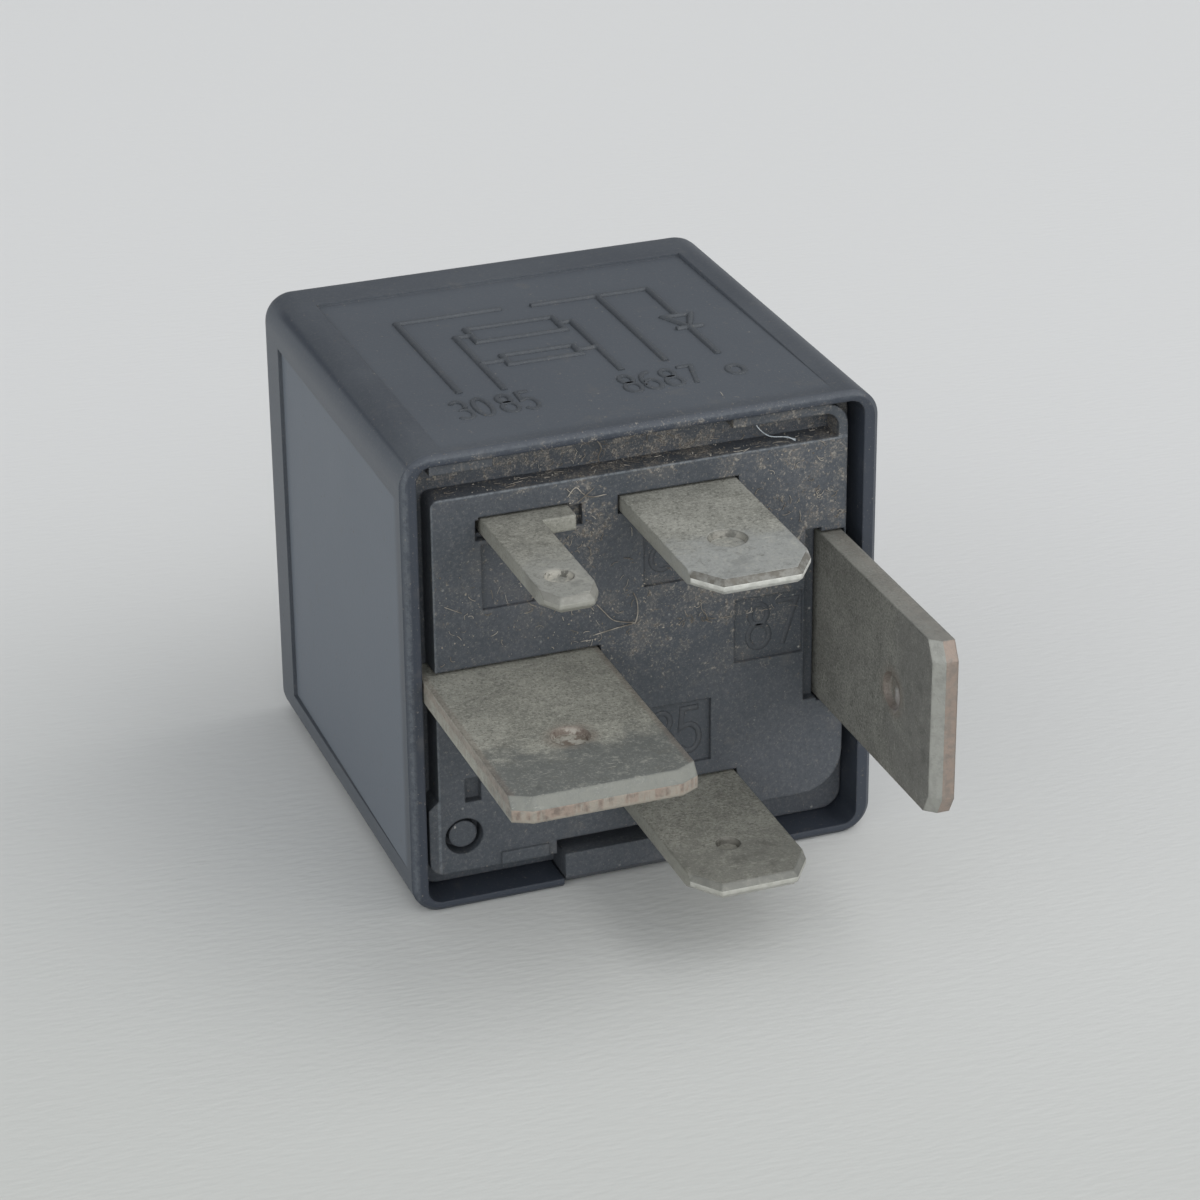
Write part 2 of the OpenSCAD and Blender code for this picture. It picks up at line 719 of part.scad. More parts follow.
module rivet_holes() {
    for (s = [-1, 1])
        translate([yoke_x - 2, yoke_rivet_y, mid_z + s * yoke_rivet_z])
            rotate([0, 90, 0]) cylinder(r = rivet_r + rivet_fit, h = yoke_t + 3);
}

module yoke() {
    color("#8f9499")
    placed() difference() {
        upright(yoke_w)
            strip([[yoke_x + yoke_t / 2, yoke_top], [yoke_x + yoke_t / 2, foot_y + yoke_t / 2],
                [foot_end, foot_y + yoke_t / 2]], yoke_bend + yoke_t / 2, yoke_t);
        peg(core_x, mid_z, tail_r + rivet_fit, foot_y - 1, foot_in + 1);
        rivet_holes();
    }
}

module core() {
    color("#9aa0a6")
    placed() translate([core_x, 0, mid_z]) rotate([-90, 0, 0]) rotate_extrude()
        polygon([[0, foot_y - 0.4], [tail_r + 0.4, foot_y - 0.4], [tail_r + 0.5, foot_y],
            [tail_r, foot_y], [tail_r, foot_in], [core_r, foot_in], [core_r, pole_y],
            [pole_r, pole_y], [pole_r, yoke_top - 0.2], [pole_r - 0.2, yoke_top], [0, yoke_top]]);
}

// The bobbin with the two posts whose hooks stop the open armature
module bobbin() {
    post_in = yoke_w / 2 + 0.4;
    color("#d9d2bd")
    placed() difference() {
        union() {
            peg(core_x, mid_z, tube_r, foot_in, bob_y + bob_t);
            slab(foot_in, foot_in + bob_t)
                polygon(round_box(bob_left, mid_z - bob_half, bob_right, mid_z + bob_half, 0.8));
            slab(bob_y, bob_y + bob_t)
                polygon(round_box(bob_left, mid_z - bob_half, bob_right, mid_z + bob_half, 0.8));
            for (s = [-1, 1]) {
                translate([0, 0, mid_z]) mirror([0, 0, s < 0 ? 1 : 0]) {
                    translate([arma_end - 1.9, bob_y, bob_half - 1])
                        cube([2.9, bob_t, post_in + 2 - bob_half]);
                    translate([arma_end - 1.9, bob_y, post_in])
                        cube([2.9, post_y + 0.8 - bob_y, 1]);
                    translate([arma_end - 1.9, post_y, post_in - 1.2])
                        cube([2.9, 0.8, 2.2]);
                }
            }
        }
        peg(core_x, mid_z, core_r + mag_fit, foot_in - 1, pole_y + 1);
    }
}

// The two lead-outs, from inside the winding to the faces of the blades' legs
module coil_wires() {
    translate([coil_wire_x, coil_wire_y, mid_z])
        for (s = [0, 180])
            rotate([0, s, 0]) mirror([s / 180, 0, 0])
                translate([0, 0, wire_in])
                cylinder(r = wire_r, h = coil_pitch / 2 - mid_t / 2 - wire_in);
}

module coil() {
    color("#b06a3a")
    placed() difference() {
        union() {
            peg(core_x, mid_z, coil_r, foot_in + bob_t, bob_y);
            coil_wires();
        }
        peg(core_x, mid_z, tube_r, foot_in, bob_y + bob_t);
    }
}

// ---- Moving pieces ----

module armature() {
    color("#8a9096")
    placed() opened() difference() {
        slab(pivot[1], arma_top)
            polygon(round_box(yoke_x, mid_z - yoke_w / 2, arma_end, mid_z + yoke_w / 2, 0.4));
        for (x = rivet_xs) peg(x, mid_z, rivet_r + rivet_fit, pivot[1] - 1, arma_top + 1);
    }
}

module contact_arm() {
    tip_r = contact_r + 0.5;
    color("#b87445")
    placed() opened() difference() {
        slab(arma_top, leaf_top)
            polygon(concat(
                [[ear_x - 1.3, mid_z + leaf_w / 2], [ear_x - 1.3, mid_z - leaf_w / 2 - 4.2],
                [ear_x + 1.3, mid_z - leaf_w / 2 - 4.2], [ear_x + 1.3, mid_z - leaf_w / 2],
                [arma_end - 0.5, mid_z - leaf_w / 2]],
                arc([contact_x, mid_z], tip_r, -75, 75, 12),
                [[arma_end - 0.5, mid_z + leaf_w / 2]]));
        for (x = rivet_xs) peg(x, mid_z, rivet_r + rivet_fit, arma_top - 1, leaf_top + 1);
        peg(contact_x, mid_z, contact_shank + rivet_fit, arma_top - 1, leaf_top + 1);
    }
}

module moving_contact() {
    color("#d5d3cc")
    placed() opened() translate([contact_x, 0, mid_z]) rotate([-90, 0, 0]) rotate_extrude()
        polygon([[0, fixed_top + contact_gap], [contact_r - 0.3, fixed_top + contact_gap],
            [contact_r, fixed_top + contact_gap + 0.25], [contact_r, arma_top],
            [contact_shank, arma_top], [contact_shank, leaf_top],
            [contact_shank + 0.3, leaf_top], [contact_shank + 0.2, leaf_top + 0.4],
            [0, leaf_top + 0.4]]);
}

module armature_rivets() {
    color("#c4c0b2")
    placed() opened() for (x = rivet_xs)
        translate([x, 0, mid_z]) rotate([-90, 0, 0]) rotate_extrude()
            polygon([[0, pivot[1] + 0.02], [rivet_r, pivot[1] + 0.02], [rivet_r, leaf_top],
                [rivet_r + 0.6, leaf_top], [rivet_r + 0.4, leaf_top + 0.4], [0, leaf_top + 0.4]]);
}

// ---- Spring, rivets, contact, braid ----

spring_x = yoke_x - spring_t / 2;
spring_line = [[spring_x, foot_in + 1], [spring_x, yoke_top - 1.3],
    [yoke_x - 1.14, yoke_top + 0.4], [yoke_x - 1.05, yoke_top + 2.6],
    [yoke_x + 0.6, yoke_top + 3],
    open_pt([yoke_x + 2.1, arma_top + spring_t / 2]),
    open_pt([core_x - 4.6, arma_top + spring_t / 2])];

module return_spring() {
    color("#c9c5b8")
    placed() difference() {
        upright(spring_w) strip(spring_line, 0.6, spring_t);
        rivet_holes();
    }
}

module yoke_rivets() {
    color("#b9b5a8")
    placed() for (s = [-1, 1])
        translate([yoke_x - spring_t, yoke_rivet_y, mid_z + s * yoke_rivet_z])
            rotate([0, 90, 0]) rotate_extrude()
            polygon([[0, -0.4], [rivet_r + 0.4, -0.4], [rivet_r + 0.6, 0],
                [rivet_r, 0], [rivet_r, spring_t + yoke_t - 0.02], [0, spring_t + yoke_t - 0.02]]);
}

module fixed_contact() {
    low = fixed_top - contact_t;
    color("#d9d7d0")
    placed() translate([contact_x, 0, mid_z]) rotate([-90, 0, 0]) rotate_extrude()
        polygon([[0, low - big_t], [contact_shank, low - big_t], [contact_shank, low],
            [contact_r, low], [contact_r, fixed_top - 0.25], [contact_r - 0.3, fixed_top],
            [0, fixed_top]]);
}

braid_low = leg_z - big_t / 2 - braid_r;
braid_high = mid_z - leaf_w / 2 - 3.2;
braid_end = open_pt([ear_x, arma_top])[1] - 0.1;

module braid() {
    color("#b97a4b")
    placed() translate([ear_x, 0, 0]) rotate([90, 0, 90])
        wire([[leg_end - 3, braid_low], [leg_end + 1.4, braid_low],
            [braid_end - 1.9, braid_high], [braid_end, braid_high]], 1.2, braid_r);
}

// ---- Circuit ----

module resistor() {
    color("#5b8fa8")
    placed() translate([res_x, res_y, mid_z - res_l / 2])
        rotate_extrude()
        polygon([[0, 0], [0.5 * res_r, 0], [res_r, 0.5], [res_r, 1.5], [0.88 * res_r, 1.8],
            [0.88 * res_r, res_l - 1.8], [res_r, res_l - 1.5], [res_r, res_l - 0.5],
            [0.5 * res_r, res_l], [0, res_l]]);
}

module resistor_lead() {
    rotate([90, 0, 0])
        wire([[res_x, res_l / 2], [res_x, res_lead_z], [coil_leg_x - 0.8, res_lead_z]], 0.8, lead_r);
}

module resistor_leads() {
    color("#c8c8c4")
    placed() translate([0, res_y, mid_z]) {
        resistor_lead();
        mirror([0, 0, 1]) resistor_lead();
    }
}

module diode() {
    color("#1d1d20")
    placed() translate([diode_x - diode_l / 2, diode_y, diode_z]) rotate([0, 90, 0])
        rotate_extrude()
        polygon([[0, 0], [diode_r - 0.2, 0], [diode_r, 0.2], [diode_r, diode_l - 0.2],
            [diode_r - 0.2, diode_l], [0, diode_l]]);
}

module diode_leads() {
    color("#c8c8c4")
    placed() translate([0, diode_y, 0]) rotate([90, 0, 0]) {
        wire([[x_diode + (stub_w - small_w) / 2 - 0.8, diode_z], [diode_x - diode_l / 2, diode_z]],
            1, lead_r);
        wire([[diode_x + diode_l / 2, diode_z], [x_87, diode_z], [x_87, mid_z + neck_big / 2]],
            1, lead_r);
    }
}

// Solder over a lead that lies on a terminal's leg, as a bar along the lead
module lead_bead(len_x) {
    inner = [for (k = [4:-1:0]) [lead_r * cos(k * 45), lead_r + lead_r * sin(k * 45)]];
    bar(len_x)
        polygon(concat(arc([0, 0], bead_r, 0, 180, 12), [[-lead_r, 0]], inner, [[lead_r, 0]]));
}

module solder_beads() {
    stub_x = x_diode + (stub_w - small_w) / 2;
    leg_face = coil_pitch / 2 - mid_t / 2;
    color("#b4b6b4")
    placed() {
        for (s = [0, 1])
            translate([coil_leg_x, res_y, mid_z]) mirror([0, 0, s])
                translate([0, 0, leg_face]) rotate([180, 0, 0]) lead_bead(1.2);
        translate([stub_x, diode_y, z_86 + mid_t / 2]) lead_bead(1.2);
        translate([x_87, diode_y, mid_z + neck_big / 2]) rotate_extrude()
            polygon([[lead_r, 0], [big_t / 2, 0], [big_t / 2 - 0.05, 0.25], [lead_r, 0.5]]);
    }
}

cover();
base();
terminal_30();
terminal_87();
terminal_85();
terminal_86();
terminal_diode();
yoke();
core();
bobbin();
coil();
armature();
contact_arm();
moving_contact();
armature_rivets();
return_spring();
yoke_rivets();
fixed_contact();
braid();
resistor();
resistor_leads();
diode();
diode_leads();
solder_beads();
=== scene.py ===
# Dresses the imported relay: materials for every node, the moulded circuit and
# numbers, dust and fibres, the floor, the lamps and the camera.
import bpy
import bmesh
import math
import random
from mathutils import Matrix, Vector


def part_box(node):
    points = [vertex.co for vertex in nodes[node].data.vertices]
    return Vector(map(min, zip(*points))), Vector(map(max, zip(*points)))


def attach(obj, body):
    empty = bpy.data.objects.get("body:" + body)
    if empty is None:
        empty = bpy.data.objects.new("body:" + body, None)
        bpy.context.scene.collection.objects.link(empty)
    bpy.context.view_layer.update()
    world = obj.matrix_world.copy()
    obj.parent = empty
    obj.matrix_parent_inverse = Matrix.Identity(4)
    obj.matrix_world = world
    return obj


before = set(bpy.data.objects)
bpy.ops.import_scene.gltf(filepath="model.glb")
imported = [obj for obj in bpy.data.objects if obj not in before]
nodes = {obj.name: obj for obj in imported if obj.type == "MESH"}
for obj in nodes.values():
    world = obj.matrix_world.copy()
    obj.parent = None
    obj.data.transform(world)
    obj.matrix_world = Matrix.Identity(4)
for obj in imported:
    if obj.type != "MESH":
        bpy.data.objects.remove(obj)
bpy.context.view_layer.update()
scene = bpy.context.scene
MM = 0.001

# ---- The part's own measures, in millimetres in its frame ----
cover_lo = [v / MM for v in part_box("cover")[0]]
cover_hi = [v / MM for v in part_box("cover")[1]]
RIM = cover_lo[1]
BACK = cover_hi[1]
TOP = cover_hi[2]
HALF = cover_hi[0]
MID = (cover_lo[2] + cover_hi[2]) / 2
DEPTH = BACK - RIM
DRAFT = 0.15
PANEL_SIDE = 2.35
PANEL_RIM = 0.9
PANEL_END = 3.6
PANEL_DEEP = 0.2
FACE = 0.45
FIELD = 0.25


def tip(node):
    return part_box(node)[0][1] / MM


# ---- Camera ----
cam_data = bpy.data.cameras.new("camera")
cam_data.lens = 117.77
cam_data.sensor_width = 36
cam_data.clip_start = 0.01
cam_data.clip_end = 20
camera = bpy.data.objects.new("camera", cam_data)
scene.collection.objects.link(camera)
view = Vector((0.31243973, 0.84391695, -0.43610274)).normalized()
right = Vector((0.93631609, -0.35105479, -0.00852721)).normalized()
up = right.cross(view).normalized()
rot = Matrix((right, up, -view)).transposed()
camera.matrix_world = Matrix.Translation(Vector((-64.3815, -167.2707 + RIM, 102.739)) * MM) @ rot.to_4x4()
scene.camera = camera


# ---- Node trees ----
class Tree:
    def __init__(self, name):
        self.mat = bpy.data.materials.new(name)
        self.mat.use_nodes = True
        self.nt = self.mat.node_tree
        self.nt.nodes.clear()
        self.out = self.nt.nodes.new("ShaderNodeOutputMaterial")
        self.shader = self.nt.nodes.new("ShaderNodeBsdfPrincipled")
        self.nt.links.new(self.shader.outputs[0], self.out.inputs["Surface"])
        self.coord = self.nt.nodes.new("ShaderNodeTexCoord")
        self.pos = self.coord.outputs["Object"]
        self.parts = None
        self.normals = None

    def put(self, socket, value):
        if isinstance(value, bpy.types.NodeSocket):
            self.nt.links.new(value, socket)
        elif isinstance(value, (tuple, list)) and len(value) == 3 and socket.type == "RGBA":
            socket.default_value = (*value, 1)
        else:
            socket.default_value = value

    def node(self, kind, out=0, props=None, **ins):
        n = self.nt.nodes.new(kind)
        for k, v in (props or {}).items():
            setattr(n, k, v)
        for k, v in ins.items():
            self.put(n.inputs[k.replace("_", " ")], v)
        return n.outputs[out]

    def math(self, op, a, b=0.0, c=0.0, clamp=False):
        n = self.nt.nodes.new("ShaderNodeMath")
        n.operation = op
        n.use_clamp = clamp
        for i, v in enumerate((a, b, c)):
            self.put(n.inputs[i], v)
        return n.outputs[0]

    def mul(self, a, b):
        return self.math("MULTIPLY", a, b)

    def add(self, a, b):
        return self.math("ADD", a, b)

    def sub(self, a, b):
        return self.math("SUBTRACT", a, b)

    def step(self, v, lo, hi, a=0.0, b=1.0):
        """v from lo to hi becomes a to b, smoothly."""
        n = self.nt.nodes.new("ShaderNodeMapRange")
        n.interpolation_type = "SMOOTHSTEP"
        self.put(n.inputs["Value"], v)
        for k, x in (("From Min", lo), ("From Max", hi), ("To Min", a), ("To Max", b)):
            n.inputs[k].default_value = x
        return n.outputs[0]

    def noise(self, scale, detail=4.0, rough=0.55, pos=None, out=0, distort=0.0):
        return self.node("ShaderNodeTexNoise", out, Vector=pos or self.pos, Scale=scale,
                         Detail=detail, Roughness=rough, Distortion=distort)

    def stretched(self, scales, turn=(0, 0, 0), move=(0, 0, 0)):
        n = self.nt.nodes.new("ShaderNodeMapping")
        self.put(n.inputs["Vector"], self.pos)
        n.inputs["Scale"].default_value = scales
        n.inputs["Rotation"].default_value = turn
        n.inputs["Location"].default_value = move
        return n.outputs[0]

    def mix(self, f, a, b):
        n = self.nt.nodes.new("ShaderNodeMix")
        n.data_type = "RGBA"
        self.put(n.inputs[0], f)
        self.put(n.inputs[6], a)
        self.put(n.inputs[7], b)
        return n.outputs[2]

    def lerp(self, f, a, b):
        """Number a where f is 0, b where f is 1."""
        n = self.nt.nodes.new("ShaderNodeMapRange")
        n.clamp = True
        self.put(n.inputs["Value"], f)
        n.inputs["To Min"].default_value = a
        n.inputs["To Max"].default_value = b
        return n.outputs[0]

    def xyz(self):
        if not self.parts:
            n = self.nt.nodes.new("ShaderNodeSeparateXYZ")
            self.put(n.inputs[0], self.pos)
            self.parts = [self.mul(o, 1000.0) for o in n.outputs]
        return self.parts

    def nrm(self):
        if not self.normals:
            n = self.nt.nodes.new("ShaderNodeSeparateXYZ")
            self.put(n.inputs[0], self.coord.outputs["Normal"])
            self.normals = list(n.outputs)
        return self.normals

    def bump(self, height, strength, dist, normal=None):
        n = self.nt.nodes.new("ShaderNodeBump")
        n.inputs["Strength"].default_value = strength
        n.inputs["Distance"].default_value = dist
        self.put(n.inputs["Height"], height)
        if normal:
            self.put(n.inputs["Normal"], normal)
        return n.outputs[0]

    def soft(self, radius):
        """The normal with its edges rounded by radius."""
        n = self.nt.nodes.new("ShaderNodeBevel")
        n.samples = 4
        n.inputs["Radius"].default_value = radius
        return n.outputs[0]

    def near(self, point, reach):
        """1 at a point given in millimetres, falling to 0 at its reach."""
        x, y, z = self.xyz()
        total = None
        for v, c, r in zip((x, y, z), point, reach):
            d = self.mul(self.sub(v, c), 1.0 / r)
            d = self.mul(d, d)
            total = d if total is None else self.add(total, d)
        return self.step(total, 1.0, 0.0)

    def set(self, **ins):
        for k, v in ins.items():
            self.put(self.shader.inputs[k.replace("_", " ")], v)


def specks(t, size, gate):
    """Scattered pale specks about size metres across, on a share of the cells."""
    v = t.nt.nodes.new("ShaderNodeTexVoronoi")
    t.put(v.inputs["Vector"], t.pos)
    v.inputs["Scale"].default_value = 0.3 / size
    c = t.nt.nodes.new("ShaderNodeSeparateColor")
    t.put(c.inputs[0], v.outputs["Color"])
    dot = t.step(v.outputs["Distance"], 0.26, 0.12)
    return t.mul(dot, t.math("LESS_THAN", c.outputs[0], gate)), c.outputs[1]


def ridge_line(t, a, b, width, axis_a="y", axis_b="z"):
    """1 along an edge that lies at a on one axis and at b on another."""
    parts = dict(zip("xyz", t.xyz()))
    da = t.math("ABSOLUTE", t.sub(parts[axis_a], a))
    db = t.math("ABSOLUTE", t.sub(parts[axis_b], b))
    return t.step(t.math("MAXIMUM", da, db), width, width * 0.3)


def plastic(name, dark, pale, rough, panels=False, dusty=None, edge_wear_and_painted_highlight=(), crumbs=0.5, grit=0.2, dots=0.0):
    """Moulded black plastic with its fine grain, brown dust and pale specks. With panels, its side faces carry
    painted light and its rim front and inner walls painted shade; along the given edges runs a lighter broken line,
    partly rubbed wear and partly a painted edge highlight.
    """
    t = Tree(name)
    big = t.noise(110.0, 3.0)
    fine = t.noise(5200.0, 2.0)
    x, y, z = t.xyz()
    tone = t.mix(t.step(big, 0.35, 0.68), dark, pale)
    dirt = t.noise(5600.0, 4.0, 0.8)
    tone = t.mix(t.step(dirt, 0.5, 0.68, 0.0, grit), tone, [v * k for v, k in zip(pale, (2.3, 2.05, 1.8))])
    tone = t.mix(t.step(dirt, 0.48, 0.34, 0.0, grit), tone, [v * 0.5 for v in dark])
    rough_v = t.lerp(big, rough - 0.05, rough + 0.07)
    grain_h = fine
    if panels:
        ax = t.math("ABSOLUTE", x)
        az = t.math("ABSOLUTE", t.sub(z, MID))
        low = t.math("MINIMUM", ax, az)
        nx, ny, nz = t.nrm()
        side = t.mul(t.step(low, HALF - PANEL_SIDE, HALF - PANEL_SIDE - 0.08),
                     t.step(t.math("ABSOLUTE", ny), 0.5, 0.3))
        long = t.mul(t.step(y, RIM + PANEL_RIM - 0.3, RIM + PANEL_RIM + 0.5),
                     t.step(y, BACK - PANEL_END, BACK - PANEL_END - 0.08))
        panel = t.mul(side, long)
        tone = t.mix(t.mul(panel, 0.6), tone, [v * 1.25 for v in pale])
        # Side faces lighter than the rest of the cover: painted light.
        side_face_painted_light = t.mul(panel, t.step(t.math("ABSOLUTE", nx), 0.6, 0.85))
        tone = t.mix(t.mul(side_face_painted_light, 0.8), tone, [v * 2.3 for v in pale])
        rough_v = t.add(rough_v, t.mul(panel, 0.1))
        # The borders of the side faces lighter too: painted light.
        side_border_painted_light = t.mul(t.sub(1.0, panel), t.step(t.math("ABSOLUTE", nx), 0.6, 0.85))
        tone = t.mix(t.mul(side_border_painted_light, 0.3), tone, [v * 2.0 for v in pale])
        # Rim front face and inner walls near the opening darker: painted shade.
        rim_front_painted_shade = t.mul(t.step(ny, -0.5, -0.85), t.step(y, RIM + 0.6, RIM + 0.2))
        inner_wall_painted_shade = t.step(t.math("MAXIMUM", ax, az), HALF - 0.35, HALF - 0.55)
        inner_wall_painted_shade = t.mul(inner_wall_painted_shade, t.step(y, BACK - 2.0, BACK - 4.0))
        tone = t.mix(t.mul(t.math("MAXIMUM", rim_front_painted_shade, inner_wall_painted_shade), 0.85), tone, [v * k for v, k in zip(dark, (0.5, 0.55, 0.66))])
        grain_h = t.mul(fine, t.lerp(panel, 0.35, 1.0))
    total = None
    for point, reach, much in dusty or ():
        d = t.mul(t.near(point, reach), much)
        total = d if total is None else t.math("MAXIMUM", total, d)
    patch = t.noise(620.0, 3.0, 0.6)
    crumb = t.noise(3300.0, 4.0, 0.72)
    powder = t.noise(9500.0, 2.0, 0.6)
    gate = t.mul(total, t.step(patch, 0.36, 0.62, 0.3, 1.0)) if total is not None else 0.0
    d1 = t.step(t.add(crumb, t.mul(gate, 0.2)), 0.645, 0.705)
    d2 = t.step(t.add(powder, t.mul(gate, 0.24)), 0.64, 0.74)
    film = t.mul(t.step(t.add(patch, t.mul(gate, 0.25)), 0.6, 0.8), 0.3)
    tone = t.mix(film, tone, (0.125, 0.12, 0.112))
    tone = t.mix(t.mul(d2, 0.4), tone, (0.21, 0.192, 0.165))
    dust_tone = t.mix(t.step(powder, 0.42, 0.6), (0.15, 0.122, 0.095), (0.38, 0.35, 0.3))
    tone = t.mix(t.mul(d1, crumbs), tone, dust_tone)
    if dots:
        pale_dot, r1 = specks(t, 0.00011, dots)
        tone = t.mix(t.mul(pale_dot, t.lerp(r1, 0.1, 0.7)), tone, (0.45, 0.44, 0.4))
    # Lighter broken line along each given edge: partly rubbed wear, partly a painted edge highlight.
    for a, b, width, axis_a, axis_b, much in edge_wear_and_painted_highlight:
        line = t.mul(ridge_line(t, a, b, width, axis_a, axis_b), t.step(crumb, 0.38, 0.58, 0.25, 1.0))
        tone = t.mix(t.mul(line, much), tone, (0.2, 0.22, 0.235))
    rough_v = t.add(rough_v, t.mul(d1, 0.3))
    height = t.add(grain_h, t.mul(t.step(crumb, 0.6, 0.75), 1.4))
    t.set(Base_Color=tone, Roughness=rough_v, Normal=t.bump(height, 0.35, 0.00003, t.soft(0.00015)))
    t.shader.inputs["IOR"].default_value = 1.5
    return t


def tin(name, node, dark, pale, tip_tone, bevel_painted_light_tone, front_painted_light_tone, axis, copper=0.0,
        hole=None, rust=0.0, crumbs=0.0):
    """Dull speckled tin plate with a cleaner tip, scratches and dust in the dimple; the upper bevel and the front
    of the tip take tones set per blade, painted light and shade, the dimple's walls painted shade, and blade 87 a
    painted glint.
    """
    t = Tree(name)
    lo, hi = ([v / MM for v in c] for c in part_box(node))
    x, y, z = t.xyz()
    nx, ny, nz = t.nrm()
    flat = t.math("ABSOLUTE", nz if axis == "z" else nx)
    cloud = t.noise(380.0, 6.0, 0.7, distort=0.4)
    grain = t.noise(7800.0, 3.0, 0.7)
    tip_d = t.sub(y, lo[1])
    clean = t.step(t.add(tip_d, t.mul(t.sub(cloud, 0.5), 9.0)), 6.2, 3.2)
    tone = t.mix(t.step(cloud, 0.3, 0.7), dark, pale)
    tone = t.mix(t.mul(clean, 0.9), tone, tip_tone)
    blot = t.noise(1500.0, 4.0, 0.75)
    tone = t.mix(t.step(blot, 0.53, 0.66, 0.0, 0.4), tone, [v * 0.55 for v in dark])
    tone = t.mix(t.step(blot, 0.46, 0.34, 0.0, 0.35), tone, [min(1.0, v * 1.25) for v in pale])
    speck = t.mul(grain, 1.0)
    less = t.lerp(clean, 1.0, 0.45)
    tone = t.mix(t.mul(t.step(speck, 0.52, 0.68, 0.0, 0.75), less), tone, [v * 0.45 for v in dark])
    tone = t.mix(t.mul(t.step(speck, 0.47, 0.32, 0.0, 0.6), less), tone, [min(1.0, v * 1.5) for v in pale])
    rough_v = t.lerp(cloud, 0.44, 0.62)
    # Dark stains and scratches near the tip
    stain = t.mul(t.step(t.noise(520.0, 4.0, 0.6), 0.56, 0.68), clean)
    tone = t.mix(t.mul(stain, 0.55), tone, [v * 0.6 for v in tip_tone])
    turn = (0.0, 0.0, 0.5) if axis == "z" else (0.5, 0.0, 0.0)
    thin = t.noise(1.0, 2.0, pos=t.stretched((700, 9500, 9500) if axis == "z" else (9500, 9500, 700), turn))
    line = t.step(thin, 0.7, 0.76, 0.0, 0.5)
    tone = t.mix(line, tone, [min(1.0, v * 1.7) for v in pale])
    # Bevels of the tip; the upper bevel takes its own tone per blade: painted light and shade.
    bevel = t.mul(t.mul(t.step(flat, 0.3, 0.45), t.step(flat, 0.96, 0.88)), t.step(tip_d, 1.9, 1.6))
    up_way = nz if axis == "z" else t.mul(nx, -1.0)
    upper = t.mul(bevel, t.math("GREATER_THAN", up_way, 0.0))
    mottle = t.step(t.noise(2300.0, 3.0), 0.36, 0.6)
    tone = t.mix(t.mul(upper, t.add(t.mul(mottle, 0.35), 0.6)), tone, bevel_painted_light_tone)
    # The sheared sides and the front, with the bare core of the thick blades in the middle
    side = t.step(flat, 0.3, 0.15)
    streak = t.noise(1.0, 3.0, pos=t.stretched((1500, 1500, 2600) if axis == "z" else (2600, 1500, 1500)))
    tone = t.mix(t.mul(side, t.step(streak, 0.35, 0.65, 0.25, 0.8)), tone, [v * 0.9 for v in pale])
    front = t.math("MAXIMUM", t.mul(side, t.step(ny, -0.3, -0.5)), t.sub(bevel, upper))
    front = t.mul(front, t.step(tip_d, 1.9, 1.6))
    # The front-facing faces and lower bevels take their own tone per blade: painted light and shade.
    tone = t.mix(t.mul(front, t.add(t.mul(mottle, 0.4), 0.55)), tone, front_painted_light_tone)
    rough_v = t.sub(rough_v, t.mul(front, 0.12))
    if copper:
        v = z if axis == "z" else x
        middle = MID if node == "terminal_30" else hi[0] - 0.6
        off = t.add(t.sub(v, middle), t.mul(t.sub(t.noise(900.0, 3.0), 0.5), 0.35))
        along = (3000, 3000, 500) if axis == "z" else (500, 3000, 3000)
        grooves = t.noise(1.0, 3.0, pos=t.stretched(along))
        upper_half = t.step(off, -0.05, 0.14)
        lower = t.mul(t.step(off, -0.55, -0.4), t.step(grooves, 0.62, 0.4))
        bare = t.mul(side, t.math("MAXIMUM", t.mul(upper_half, t.step(off, 0.6, 0.45)), t.mul(lower, 0.75)))
        bare = t.mul(bare, t.lerp(front, 0.5, 1.0))
        mixed = t.mix(mottle, (0.15, 0.1, 0.08), (0.3, 0.222, 0.18))
        tone = t.mix(t.mul(bare, copper), tone, mixed)
        rim_d = t.math("MINIMUM", t.sub(x, lo[0]), t.sub(hi[0], x)) if axis == "z" else t.sub(z, lo[2])
        burr = t.mul(t.step(t.add(rim_d, t.mul(t.sub(blot, 0.5), 0.5)), 0.42, 0.18), t.step(flat, 0.8, 0.95))
        tone = t.mix(t.mul(burr, copper * 0.4), tone, (0.2, 0.15, 0.12))
    # A painted glint in the dimple of blade 87.
    if node == "terminal_87":
        painted_glint = t.near((hole[0], hole[1] - 0.25, hole[2] - 0.35), (1.6, 0.75, 0.8))
        tone = t.mix(t.mul(painted_glint, 0.9), tone, (1.0, 1.0, 1.0))
    if hole:
        # The dimple's walls darkened: painted shade, rust-coloured on the rusty blades.
        dimple_wall_painted_shade = t.mul(t.near(hole, (1.9, 1.9, 1.3) if axis == "z" else (1.3, 1.9, 1.9)), t.step(flat, 0.97, 0.7))
        tone = t.mix(t.mul(dimple_wall_painted_shade, 0.85), tone, (0.14, 0.095, 0.075) if rust else (0.1, 0.095, 0.08))
        floor_d = t.mul(t.near(hole, (1.5, 1.5, 0.34) if axis == "z" else (0.34, 1.5, 1.5)),
                        t.step(blot, 0.56, 0.46))
        tone = t.mix(t.mul(floor_d, crumbs), tone, (0.52, 0.5, 0.44))
        if rust:
            halo = t.mul(t.near(hole, (1.75, 1.75, 1.6) if axis == "z" else (1.6, 1.75, 1.75)), t.step(cloud, 0.35, 0.6))
            halo = t.mul(halo, t.step(flat, 0.9, 0.99))
            tone = t.mix(t.mul(t.mul(halo, t.sub(1.0, floor_d)), 0.8), tone, (0.19, 0.145, 0.115))
    height = t.add(t.add(t.mul(grain, 1.7), t.mul(blot, 2.0)), t.mul(line, -0.6))
    t.set(Base_Color=tone, Roughness=rough_v, Metallic=0.35, Normal=t.bump(height, 0.5, 0.00004, t.soft(0.00018)))
    return t


